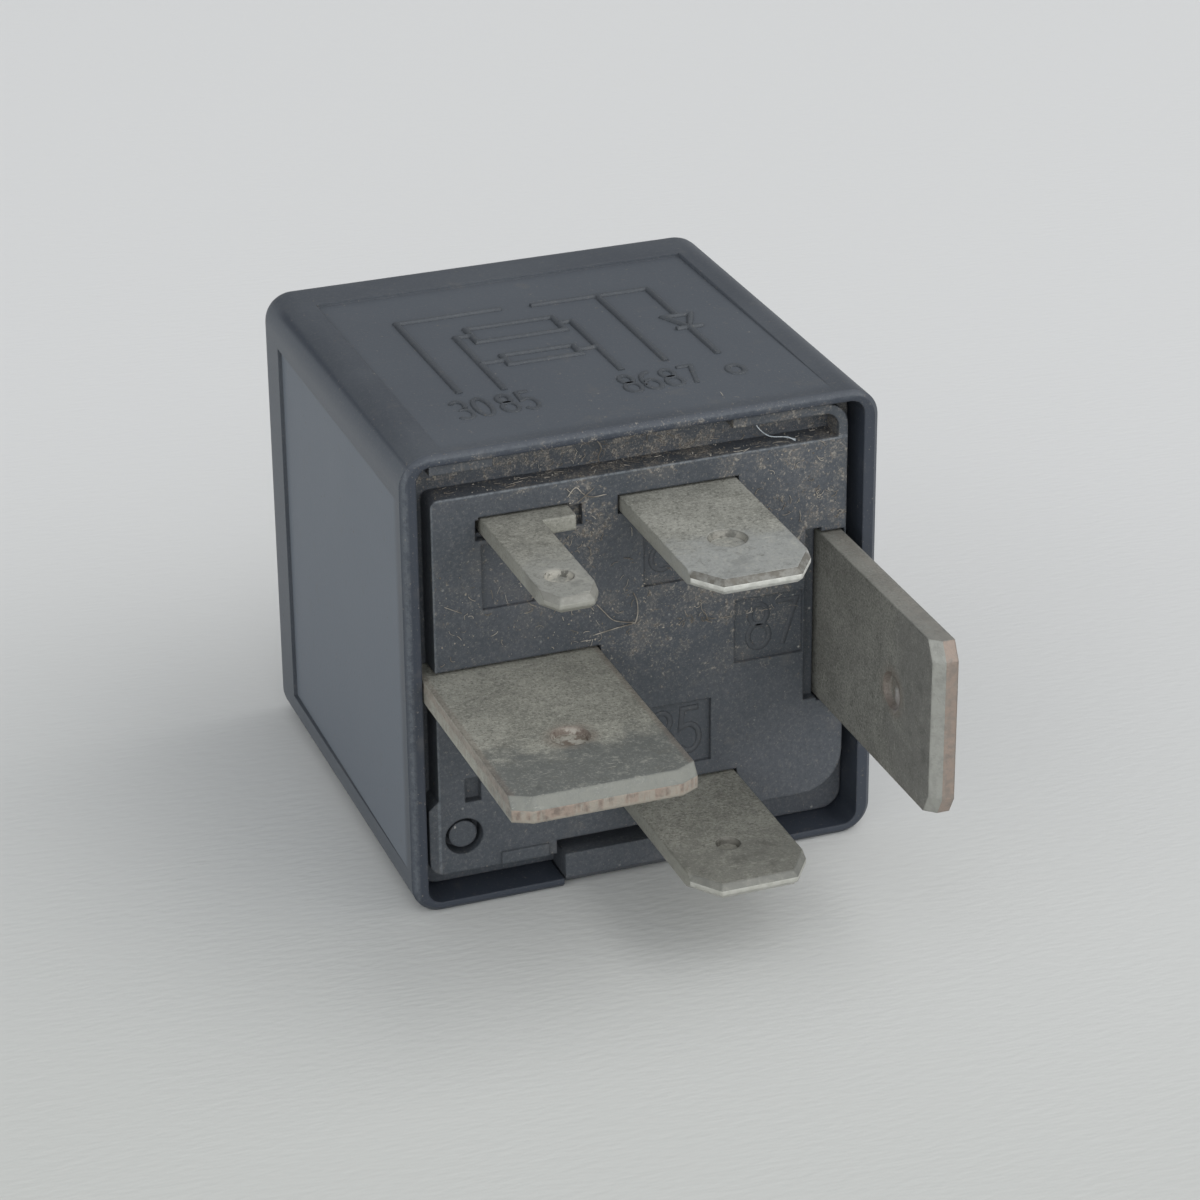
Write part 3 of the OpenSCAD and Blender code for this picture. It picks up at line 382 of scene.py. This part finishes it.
def metal(name, dark, pale, rough, brushed=None):
    t = Tree(name)
    pos = t.stretched(brushed) if brushed else t.stretched((1800, 1800, 1800))
    n = t.noise(1.0, 4.0, pos=pos)
    tone = t.mix(t.step(n, 0.35, 0.65), dark, pale)
    tone = t.mix(t.step(t.noise(160.0, 4.0), 0.45, 0.7, 0.0, 0.5), tone, [v * 0.75 for v in dark])
    t.set(Base_Color=tone, Roughness=t.lerp(n, rough - 0.08, rough + 0.1), Metallic=1.0,
          Normal=t.bump(n, 0.2, 0.00002))
    return t


def lacquer(name, dark, pale, rough):
    t = Tree(name)
    n = t.noise(900.0, 4.0)
    t.set(Base_Color=t.mix(t.step(n, 0.35, 0.65), dark, pale),
          Roughness=t.lerp(t.noise(2500.0, 3.0), rough - 0.05, rough + 0.08),
          Normal=t.bump(n, 0.15, 0.00004))
    return t


def winding(name):
    t = Tree(name)
    x, y, z = t.xyz()
    w = t.nt.nodes.new("ShaderNodeTexWave")
    w.wave_type = "BANDS"
    w.bands_direction = "Y"
    t.put(w.inputs["Vector"], t.pos)
    w.inputs["Scale"].default_value = 1300.0
    w.inputs["Distortion"].default_value = 0.4
    n = t.noise(700.0, 3.0)
    tone = t.mix(t.step(w.outputs["Fac"], 0.1, 0.6), (0.17, 0.05, 0.02), (0.52, 0.19, 0.07))
    tone = t.mix(t.step(n, 0.4, 0.7, 0.0, 0.4), tone, (0.42, 0.2, 0.09))
    t.set(Base_Color=tone, Roughness=t.lerp(n, 0.22, 0.36), Metallic=0.75,
          Normal=t.bump(w.outputs["Fac"], 0.6, 0.00008))
    return t


def woven(name):
    t = Tree(name)
    a = t.noise(1.0, 2.0, pos=t.stretched((5200, 1500, 5200), (0.0, 0.0, 0.6)))
    b = t.noise(1.0, 2.0, pos=t.stretched((5200, 1500, 5200), (0.0, 0.0, -0.6)))
    h = t.math("MAXIMUM", a, b)
    t.set(Base_Color=t.mix(t.step(h, 0.45, 0.68), (0.16, 0.06, 0.03), (0.62, 0.3, 0.15)),
          Roughness=t.lerp(a, 0.3, 0.45), Metallic=0.9, Normal=t.bump(h, 0.7, 0.0001))
    return t


def paint_on(node, t):
    o = nodes[node]
    if not o.material_slots:
        o.data.materials.append(t.mat)
    for s in o.material_slots:
        s.material = t.mat


def at(x, y, z):
    """A point given from the cover's rim, as the part's frame has it."""
    return (x, y + RIM, z)


FACE_TOP = 22.97
FACE_LEFT = -11.15
cover_dust = [
    (at(0, 0.5, 24.7), (17, 1.6, 1.1), 0.75),
    (at(0, 0, 12.8), (16, 1.0, 15), 0.1),
    (at(4, 1.5, 25), (12, 4.5, 2.5), 0.15),
]
base_dust = [
    (at(0, 1.6, 24), (19, 3, 2.6), 0.85),
    (at(8, 1.2, 23), (9, 3.6, 3.8), 0.7),
    (at(9, 0.4, 20.5), (7, 3, 6), 0.6),
    (at(3, 0.4, 14.8), (10, 3, 6), 0.6),
    (at(-5, 0.4, 18.5), (9, 3, 6), 0.3),
    (at(-9.5, 0.4, 17.5), (4.5, 3, 7), 0.25),
    (at(-3.4, 0.6, 20.4), (3.4, 3, 3.6), 0.95),
    (at(1, 0.4, 6), (18, 3, 9), 0.12),
]
# The cover's panels carry painted light on its side faces and painted shade on its rim front and inner walls; the
# edge lists of both give lighter lines, partly rubbed wear and partly a painted edge highlight.
cover_mat = plastic("moulded_black_cover", (0.05, 0.058, 0.07), (0.066, 0.075, 0.087), 0.48,
                    panels=True, dusty=cover_dust, grit=0.16,
                    edge_wear_and_painted_highlight=((RIM, 25.35, 0.2, "y", "z", 0.15), (RIM, -12.6, 0.25, "y", "x", 0.25)))
base_mat = plastic("moulded_black_base", (0.05, 0.058, 0.068), (0.068, 0.075, 0.086), 0.55, dusty=base_dust,
                   grit=0.36, dots=0.03,
                   edge_wear_and_painted_highlight=((RIM + FACE, FACE_TOP, 0.13, "y", "z", 0.7), (RIM + FACE, FACE_LEFT, 0.12, "y", "x", 0.4)))
paint_on("cover", cover_mat)
paint_on("base", base_mat)
X_30 = -7.15
X_COIL = 2.0
Z_HIGH = MID + 8.4
Z_LOW = MID - 8.4
# Each blade's upper bevel and front tones are painted light and shade.
paint_on("terminal_30", tin("tin_30", "terminal_30", (0.29, 0.286, 0.245), (0.42, 0.412, 0.355),
                            (0.155, 0.164, 0.156), (0.21, 0.213, 0.188), (0.34, 0.3, 0.25), "z", 0.9,
                            (X_30 + 0.1, tip("terminal_30") + 5.6, MID + 0.35), 1.0, 0.85))
paint_on("terminal_87", tin("tin_87", "terminal_87", (0.215, 0.213, 0.19), (0.3, 0.297, 0.265),
                            (0.215, 0.212, 0.195), (0.33, 0.33, 0.3), (0.3, 0.24, 0.2), "x", 0.25,
                            (9.5, tip("terminal_87") + 5.05, MID + 0.15), 1.0, 0.6))
paint_on("terminal_85", tin("tin_85", "terminal_85", (0.28, 0.275, 0.235), (0.41, 0.403, 0.35),
                            (0.29, 0.286, 0.25), (0.2, 0.2, 0.18), (0.48, 0.475, 0.43), "z", 0.0,
                            (X_COIL - 0.1, tip("terminal_85") + 4.0, Z_LOW + 0.2), 0.0, 0.2))
paint_on("terminal_86", tin("tin_86", "terminal_86", (0.28, 0.277, 0.24), (0.39, 0.385, 0.34),
                            (0.38, 0.388, 0.37), (0.13, 0.12, 0.1), (0.66, 0.655, 0.61), "z", 0.0,
                            (X_COIL, tip("terminal_86") + 4.55, Z_HIGH + 0.2), 0.0, 0.6))
paint_on("terminal_diode", tin("tin_narrow", "terminal_diode", (0.25, 0.246, 0.212), (0.34, 0.334, 0.29),
                               (0.33, 0.33, 0.3), (0.23, 0.226, 0.2), (0.3, 0.295, 0.26), "z", 0.0,
                               (X_30, tip("terminal_diode") + 2.55, Z_HIGH + 0.2), 0.0, 1.0))
paint_on("yoke", metal("zinc_yoke", (0.34, 0.35, 0.35), (0.48, 0.49, 0.49), 0.38))
paint_on("core", metal("steel_core", (0.36, 0.36, 0.37), (0.5, 0.5, 0.5), 0.33, (500, 6000, 500)))
paint_on("bobbin", lacquer("bobbin_plastic", (0.5, 0.44, 0.3), (0.62, 0.56, 0.42), 0.42))
paint_on("coil", winding("coil_wire"))
paint_on("armature", metal("zinc_armature", (0.34, 0.35, 0.35), (0.5, 0.5, 0.5), 0.36))
paint_on("contact_arm", metal("copper_leaf", (0.5, 0.22, 0.11), (0.62, 0.31, 0.17), 0.3, (700, 9000, 9000)))
paint_on("moving_contact", metal("silver_moving", (0.6, 0.59, 0.56), (0.75, 0.74, 0.71), 0.28))
paint_on("armature_rivets", metal("rivet_metal", (0.42, 0.41, 0.38), (0.55, 0.54, 0.5), 0.34))
paint_on("return_spring", metal("spring_strip", (0.4, 0.4, 0.38), (0.56, 0.55, 0.53), 0.26, (9000, 500, 9000)))
paint_on("yoke_rivets", metal("yoke_rivet_metal", (0.42, 0.41, 0.38), (0.55, 0.54, 0.5), 0.34))
paint_on("fixed_contact", metal("silver_fixed", (0.6, 0.59, 0.56), (0.75, 0.74, 0.71), 0.28))
paint_on("braid", woven("copper_braid"))
paint_on("resistor", lacquer("resistor_lacquer", (0.1, 0.22, 0.3), (0.15, 0.31, 0.41), 0.3))
paint_on("resistor_leads", metal("tinned_wire", (0.5, 0.5, 0.49), (0.66, 0.66, 0.64), 0.28))
paint_on("diode", lacquer("diode_body", (0.02, 0.02, 0.022), (0.035, 0.035, 0.038), 0.3))
paint_on("diode_leads", metal("diode_wire", (0.5, 0.5, 0.49), (0.66, 0.66, 0.64), 0.28))
paint_on("solder_beads", metal("dull_solder", (0.38, 0.39, 0.38), (0.55, 0.56, 0.55), 0.36))


# ---- Raised lines and numbers ----
def loop(cx, cy, rx, ry, a0, a1, n=16):
    return [(cx + rx * math.cos(math.radians(a0 + (a1 - a0) * i / n)),
             cy + ry * math.sin(math.radians(a0 + (a1 - a0) * i / n))) for i in range(n + 1)]


DIGITS = {
    "0": [loop(0.29, 0.5, 0.27, 0.48, 90, 450, 20)],
    "3": [loop(0.27, 0.75, 0.23, 0.23, 150, -80, 10) + loop(0.28, 0.27, 0.27, 0.26, 80, -150, 12)],
    "5": [[(0.52, 0.98), (0.12, 0.98), (0.08, 0.56)] + loop(0.28, 0.32, 0.26, 0.3, 118, -145, 12)],
    "6": [loop(0.44, 0.44, 0.42, 0.54, 85, 170, 6) + loop(0.29, 0.29, 0.26, 0.27, 170, -190, 16)],
    "7": [[(0.03, 0.98), (0.55, 0.98), (0.2, 0.02)]],
    "8": [loop(0.29, 0.75, 0.22, 0.22, -90, 270, 16), loop(0.29, 0.28, 0.27, 0.26, 90, 450, 16)],
}


def ridge(bm, line, width, height, place):
    """A raised line: line holds (u, v), place turns (u, v, h) into a point in millimetres."""
    closed = (Vector(line[0]) - Vector(line[-1])).length < 1e-4
    pts = [Vector(p) for p in (line[:-1] if closed else line)]
    n = len(pts)
    rows = []
    for i in range(n):
        a = pts[i - 1] if (i > 0 or closed) else None
        b = pts[(i + 1) % n] if (i < n - 1 or closed) else None
        d0 = (pts[i] - a).normalized() if a is not None else None
        d1 = (b - pts[i]).normalized() if b is not None else None
        d0 = d0 if d0 is not None else d1
        d1 = d1 if d1 is not None else d0
        n0 = Vector((-d0.y, d0.x))
        m = n0 + Vector((-d1.y, d1.x))
        m = m.normalized() if m.length > 1e-6 else n0
        k = 1 / max(0.45, m.dot(n0))
        row = []
        for side, h in ((-0.5, -0.04), (-0.3, height * 0.75), (-0.12, height), (0.12, height),
                        (0.3, height * 0.75), (0.5, -0.04)):
            q = pts[i] + m * side * width * k
            row.append(bm.verts.new(Vector(place(q.x, q.y, h)) * MM))
        rows.append(row)
    for i in range(n if closed else n - 1):
        r0, r1 = rows[i], rows[(i + 1) % n]
        for j in range(5):
            bm.faces.new((r0[j], r1[j], r1[j + 1], r0[j + 1]))
        bm.faces.new((r0[5], r1[5], r1[0], r0[0]))
    if not closed:
        bm.faces.new(rows[0])
        bm.faces.new(rows[-1][::-1])


def number(bm, text, u, v, high, wide, width, height, place, turned=False):
    """Digits of a plain stroke letter, high tall, centred on u, standing on v."""
    pitch = high * 0.58 * wide + high * 0.1
    start = u - (len(text) - 1) * pitch / 2 - 0.29 * high * wide
    for i, ch in enumerate(text):
        for stroke in DIGITS[ch]:
            ridge(bm, [(start + i * pitch + p[0] * high * wide, v + p[1] * high) for p in stroke],
                  width, height, place)


def mesh_piece(name, bm, mat, body="housing", smooth=False):
    bmesh.ops.recalc_face_normals(bm, faces=bm.faces)
    me = bpy.data.meshes.new(name)
    bm.to_mesh(me)
    bm.free()
    me.materials.append(mat)
    for p in me.polygons:
        p.use_smooth = smooth
    o = bpy.data.objects.new(name, me)
    scene.collection.objects.link(o)
    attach(o, body)
    return o


SLOPE = DRAFT / DEPTH
FALL = PANEL_DEEP / (DEPTH - PANEL_END - PANEL_RIM)


def on_panel(x, y, h):
    """A point over the sunk panel on the upper side, y from the rim."""
    z = TOP - SLOPE * y - FALL * max(0.0, y - PANEL_RIM)
    return at(x, y, min(z + h, TOP - 0.004))


relief = plastic("moulded_black_relief", (0.048, 0.055, 0.064), (0.062, 0.07, 0.079), 0.46)
bm = bmesh.new()
LINE_W = 0.42
LINE_H = 0.16
for line in (
    [(-7.25, 7.24), (-7.25, 17.68), (-5.3, 17.7)],
    [(-5.3, 17.7), (-1.39, 17.74)],
    [(0.25, 17.6), (6.94, 17.6), (6.94, 15.0)],
    [(6.94, 9.1), (6.94, 7.35)],
    [(4.06, 17.6), (4.06, 7.46)],
    [(-4.12, 13.55), (0.74, 13.55), (0.74, 15.53), (-4.12, 15.53), (-4.12, 13.55)],
    [(-4.12, 14.6), (-4.97, 14.6), (-4.97, 6.85)],
    [(0.74, 14.6), (1.48, 14.6), (1.48, 7.1)],
    [(-3.58, 10.0), (0.34, 10.0), (0.34, 11.27), (-3.58, 11.27), (-3.58, 10.0)],
    [(-3.58, 10.62), (-4.97, 10.62)],
    [(0.34, 10.62), (1.48, 10.62)],
    [(6.94, 15.0), (6.94, 13.2)],
    [(6.2, 13.2), (7.7, 13.2), (6.94, 11.4), (6.2, 13.2)],
    [(6.2, 11.4), (7.7, 11.4)],
    [(6.94, 11.4), (6.94, 9.1)],
):
    ridge(bm, line, LINE_W, LINE_H, on_panel)
mesh_piece("moulded_circuit", bm, relief.mat)

bm = bmesh.new()
for text, x, y, high in (("30", -7.3, 3.85, 2.4), ("85", -4.9, 3.85, 2.4), ("86", 1.75, 3.95, 2.4),
                         ("87", 4.0, 3.95, 2.4)):
    number(bm, text, x, y, high, 0.62, 0.32, 0.15, on_panel)
ridge(bm, loop(6.93, 4.95, 0.42, 0.62, 0, 360, 14), 0.36, 0.15, on_panel)
mesh_piece("moulded_numbers", bm, relief.mat)


def in_field(x, z, h):
    return at(x, FACE + FIELD - h, z)


base_relief = plastic("moulded_black_digits", (0.05, 0.056, 0.064), (0.066, 0.071, 0.079), 0.52)
bm = bmesh.new()
for text, x, z, rise in (("85", 1.9, 6.3, 0.06), ("86", 1.95, 17.0, 0.035), ("87", 7.3, 11.6, 0.035),
                         ("30", -7.0, 8.4, 0.035)):
    number(bm, text, x, z, 2.6, 0.85, 0.4, rise, in_field)
mesh_piece("moulded_field_numbers", bm, base_relief.mat)


# ---- Dust: fibres and crumbs that lie on the base ----
def fibre(bm, line, radius):
    """A thin round fibre along a line of points in millimetres, pointed at both ends."""
    pts = [Vector(p) for p in line]
    rings = []
    for i, p in enumerate(pts):
        way = (pts[min(i + 1, len(pts) - 1)] - pts[max(i - 1, 0)]).normalized()
        u = way.cross(Vector((0.3, 0.9, 0.31))).normalized()
        v = way.cross(u)
        r = radius * (0.35 if i in (0, len(pts) - 1) else 1.0)
        rings.append([bm.verts.new((p + (u * math.cos(k * 1.2566) + v * math.sin(k * 1.2566)) * r) * MM)
                      for k in range(5)])
    for a, b in zip(rings, rings[1:]):
        for k in range(5):
            bm.faces.new((a[k], a[(k + 1) % 5], b[(k + 1) % 5], b[k]))
    bm.faces.new(rings[0])
    bm.faces.new(rings[-1][::-1])


def smooth_line(pts, n=5):
    """A Catmull-Rom line through the points."""
    p = [Vector(q) for q in pts]
    p = [p[0] * 2 - p[1]] + p + [p[-1] * 2 - p[-2]]
    out = []
    for i in range(1, len(p) - 2):
        for k in range(n):
            s = k / n
            out.append(0.5 * (2 * p[i] + (p[i + 1] - p[i - 1]) * s
                              + (2 * p[i - 1] - 5 * p[i] + 4 * p[i + 1] - p[i + 2]) * s * s
                              + (3 * p[i] - p[i - 1] - 3 * p[i + 1] + p[i + 2]) * s ** 3))
    out.append(p[-2])
    return out


def crumb(bm, rnd, point, size):
    """An irregular grain of dirt."""
    made = bmesh.ops.create_icosphere(bm, subdivisions=1, radius=size * MM)["verts"]
    squash = Vector((rnd.uniform(0.6, 1.3), rnd.uniform(0.3, 0.6), rnd.uniform(0.6, 1.3)))
    for v in made:
        k = rnd.uniform(0.65, 1.25)
        v.co = Vector((v.co.x * squash.x, v.co.y * squash.y, v.co.z * squash.z)) * k + Vector(point) * MM


def lint(name, dark, pale):
    t = Tree(name)
    t.set(Base_Color=t.mix(t.step(t.noise(900.0, 3.0), 0.38, 0.62), dark, pale),
          Roughness=t.lerp(t.noise(4000.0, 2.0), 0.6, 0.85))
    return t.mat


def flange(x, z, off=0.0):
    """A point on the flange above the raised face."""
    return at(x, 2.0 - off, z)


def front(x, z, off=0.0):
    """A point on the raised face."""
    return at(x, FACE - off, z)


rnd = random.Random(11)


def resting_place(rnd, off):
    """A spot where the photo shows dust, and whether it lies on the flat top of the raised face."""
    k = rnd.random()
    if k < 0.2:
        x = rnd.uniform(-10.8, 11)
        return at(x, rnd.uniform(0.6, 1.9), FACE_TOP + off), True
    if k < 0.42:
        return flange(rnd.uniform(-10.8, 11), rnd.uniform(23.05, 24.9), off), False
    if k < 0.5:
        return front(rnd.gauss(-3.2, 0.8), rnd.gauss(20.5, 1.3), off), False
    if k < 0.6:
        return front(rnd.uniform(6.0, 11.0), rnd.uniform(18.5, 22.7), off), False
    if k < 0.72:
        return front(rnd.uniform(-10.8, -3.5), rnd.uniform(14.2, 18.8), off), False
    return front(min(8.2, max(-10.9, rnd.gauss(1.5, 4.0))), min(20.2, max(13.9, rnd.gauss(15.2, 2.0))), off), False


bm = bmesh.new()
for i in range(250):
    start, lying = resting_place(rnd, 0.02)
    a = rnd.uniform(0, 6.283)
    bend = rnd.uniform(-1.1, 1.1)
    long = rnd.uniform(0.05, 0.15) * (2.2 if i % 19 == 0 else 1.0)
    pts = [Vector(start)]
    for k in range(4):
        a += bend * rnd.uniform(0.2, 0.9)
        d = Vector((math.cos(a), 0, math.sin(a))) if not lying else Vector((math.cos(a), math.sin(a) * 0.5, 0))
        q = pts[-1] + d * long
        q.y = min(max(q.y, RIM + 0.5), RIM + 1.95) if lying else start[1] - rnd.uniform(0.0, 0.05)
        pts.append(q)
    fibre(bm, smooth_line(pts, 3), rnd.uniform(0.012, 0.022))
for pts, radius in (
    ([front(-2.5, 15.9, .05), front(-2.1, 15.4, .12), front(-1.6, 14.85, .1), front(-0.9, 14.6, .08),
      front(-0.45, 14.5, .12), front(-1.4, 14.35, .05), front(-2.7, 14.15, .03)], 0.03),
    ([front(-0.45, 14.4, .1), front(-0.3, 15.0, .15), front(-0.32, 15.7, .12), front(-0.5, 16.2, .05)], 0.03),
    ([front(-4.0, 22.1, .1), front(-3.6, 22.6, .2), front(-3.2, 22.2, .2), front(-2.7, 21.9, .1),
      front(-1.9, 21.9, .05)], 0.03),
    ([front(-3.5, 21.7, .1), front(-3.1, 22.1, .25), front(-2.6, 22.4, .15)], 0.028),
    ([flange(-1.9, 24.3, .2), flange(-1.7, 23.9, .35), flange(-1.85, 23.4, .3), flange(-1.8, 23.05, .3)], 0.035),
):
    fibre(bm, smooth_line(pts, 6), radius)
mesh_piece("dust_fibres", bm, lint("brown_lint", (0.14, 0.12, 0.095), (0.36, 0.33, 0.28)), smooth=True)

bm = bmesh.new()
fibre(bm, smooth_line([flange(6.6, 24.3, .3), flange(6.75, 23.7, .45), flange(7.3, 23.2, .6),
                       at(8.0, 1.1, 23.15), at(8.5, 0.7, 23.1)], 8), 0.03)
fibre(bm, smooth_line([at(7.9, 1.15, 23.15), at(8.15, 0.9, 23.2), at(8.45, 0.62, 23.06)], 6), 0.028)
mesh_piece("pale_thread", bm, lint("pale_lint", (0.42, 0.47, 0.5), (0.6, 0.64, 0.66)), smooth=True)

bm = bmesh.new()
for i in range(900):
    crumb(bm, rnd, resting_place(rnd, 0.01)[0], rnd.choice((0.02, 0.025, 0.03, 0.035, 0.05)))
mesh_piece("dust_crumbs", bm, lint("brown_crumbs", (0.13, 0.108, 0.08), (0.34, 0.31, 0.26)))


# ---- Floor, lamps and world ----
def weave():
    t = Tree("pale_floor")
    n = t.noise(9.0, 3.0)
    x, y, z = t.xyz()
    # Darker towards the front and left, lighter towards the back and right: a painted light falloff.
    painted_falloff = t.add(t.add(t.mul(x, 0.5), t.mul(y, 0.85)), t.mul(n, 14.0))
    tone = t.mix(t.step(painted_falloff, -62.0, 62.0), (0.545, 0.552, 0.522), (0.69, 0.69, 0.68))
    a = t.noise(1.0, 1.0, pos=t.stretched((900, 2600, 1), (0, 0, 0.35)))
    t.set(Base_Color=tone, Roughness=0.8, Normal=t.bump(a, 0.12, 0.0002))
    return t.mat


bm = bmesh.new()
bmesh.ops.create_grid(bm, x_segments=8, y_segments=8, size=3.0)
me = bpy.data.meshes.new("floor")
bm.to_mesh(me)
bm.free()
me.materials.append(weave())
floor = bpy.data.objects.new("floor", me)
scene.collection.objects.link(floor)


def lamp(name, where, target, size, watts, colour=(1, 1, 1)):
    d = bpy.data.lights.new(name, "AREA")
    d.shape = "RECTANGLE"
    d.size, d.size_y = size
    d.energy = watts
    d.color = colour
    o = bpy.data.objects.new(name, d)
    o.location = where
    o.rotation_euler = (Vector(target) - Vector(where)).to_track_quat("-Z", "Y").to_euler()
    scene.collection.objects.link(o)
    return o


lamp("key", (0.85, -0.3, 1.0), (0, 0, 0.01), (1.3, 1.3), 7.0, (1.0, 0.99, 0.975))
lamp("left", (-1.0, -0.5, 0.5), (0, 0, 0.01), (1.2, 0.8), 2.6, (0.95, 0.98, 1.0))
lamp("front", (-0.2, -1.7, 0.32), (0, 0, 0.01), (2.2, 0.6), 6.2, (0.97, 0.985, 1.0))

world = bpy.data.worlds.new("studio")
scene.world = world
world.use_nodes = True
wt = world.node_tree
bg = wt.nodes["Background"]
bg.inputs["Color"].default_value = (0.94, 0.965, 1.0, 1)
way = wt.nodes.new("ShaderNodeVectorMath")
way.operation = "DOT_PRODUCT"
wt.links.new(wt.nodes.new("ShaderNodeTexCoord").outputs["Generated"], way.inputs[0])
way.inputs[1].default_value = (-0.15, 0.95, 0.1)
span = wt.nodes.new("ShaderNodeMapRange")
wt.links.new(way.outputs["Value"], span.inputs["Value"])
span.inputs["From Min"].default_value = -0.8
span.inputs["From Max"].default_value = 0.8
span.inputs["To Min"].default_value = 1.16
span.inputs["To Max"].default_value = 0.3
wt.links.new(span.outputs[0], bg.inputs["Strength"])
scene.view_settings.view_transform = "Standard"
scene.cycles.max_bounces = 6
scene.cycles.diffuse_bounces = 3
scene.cycles.glossy_bounces = 3
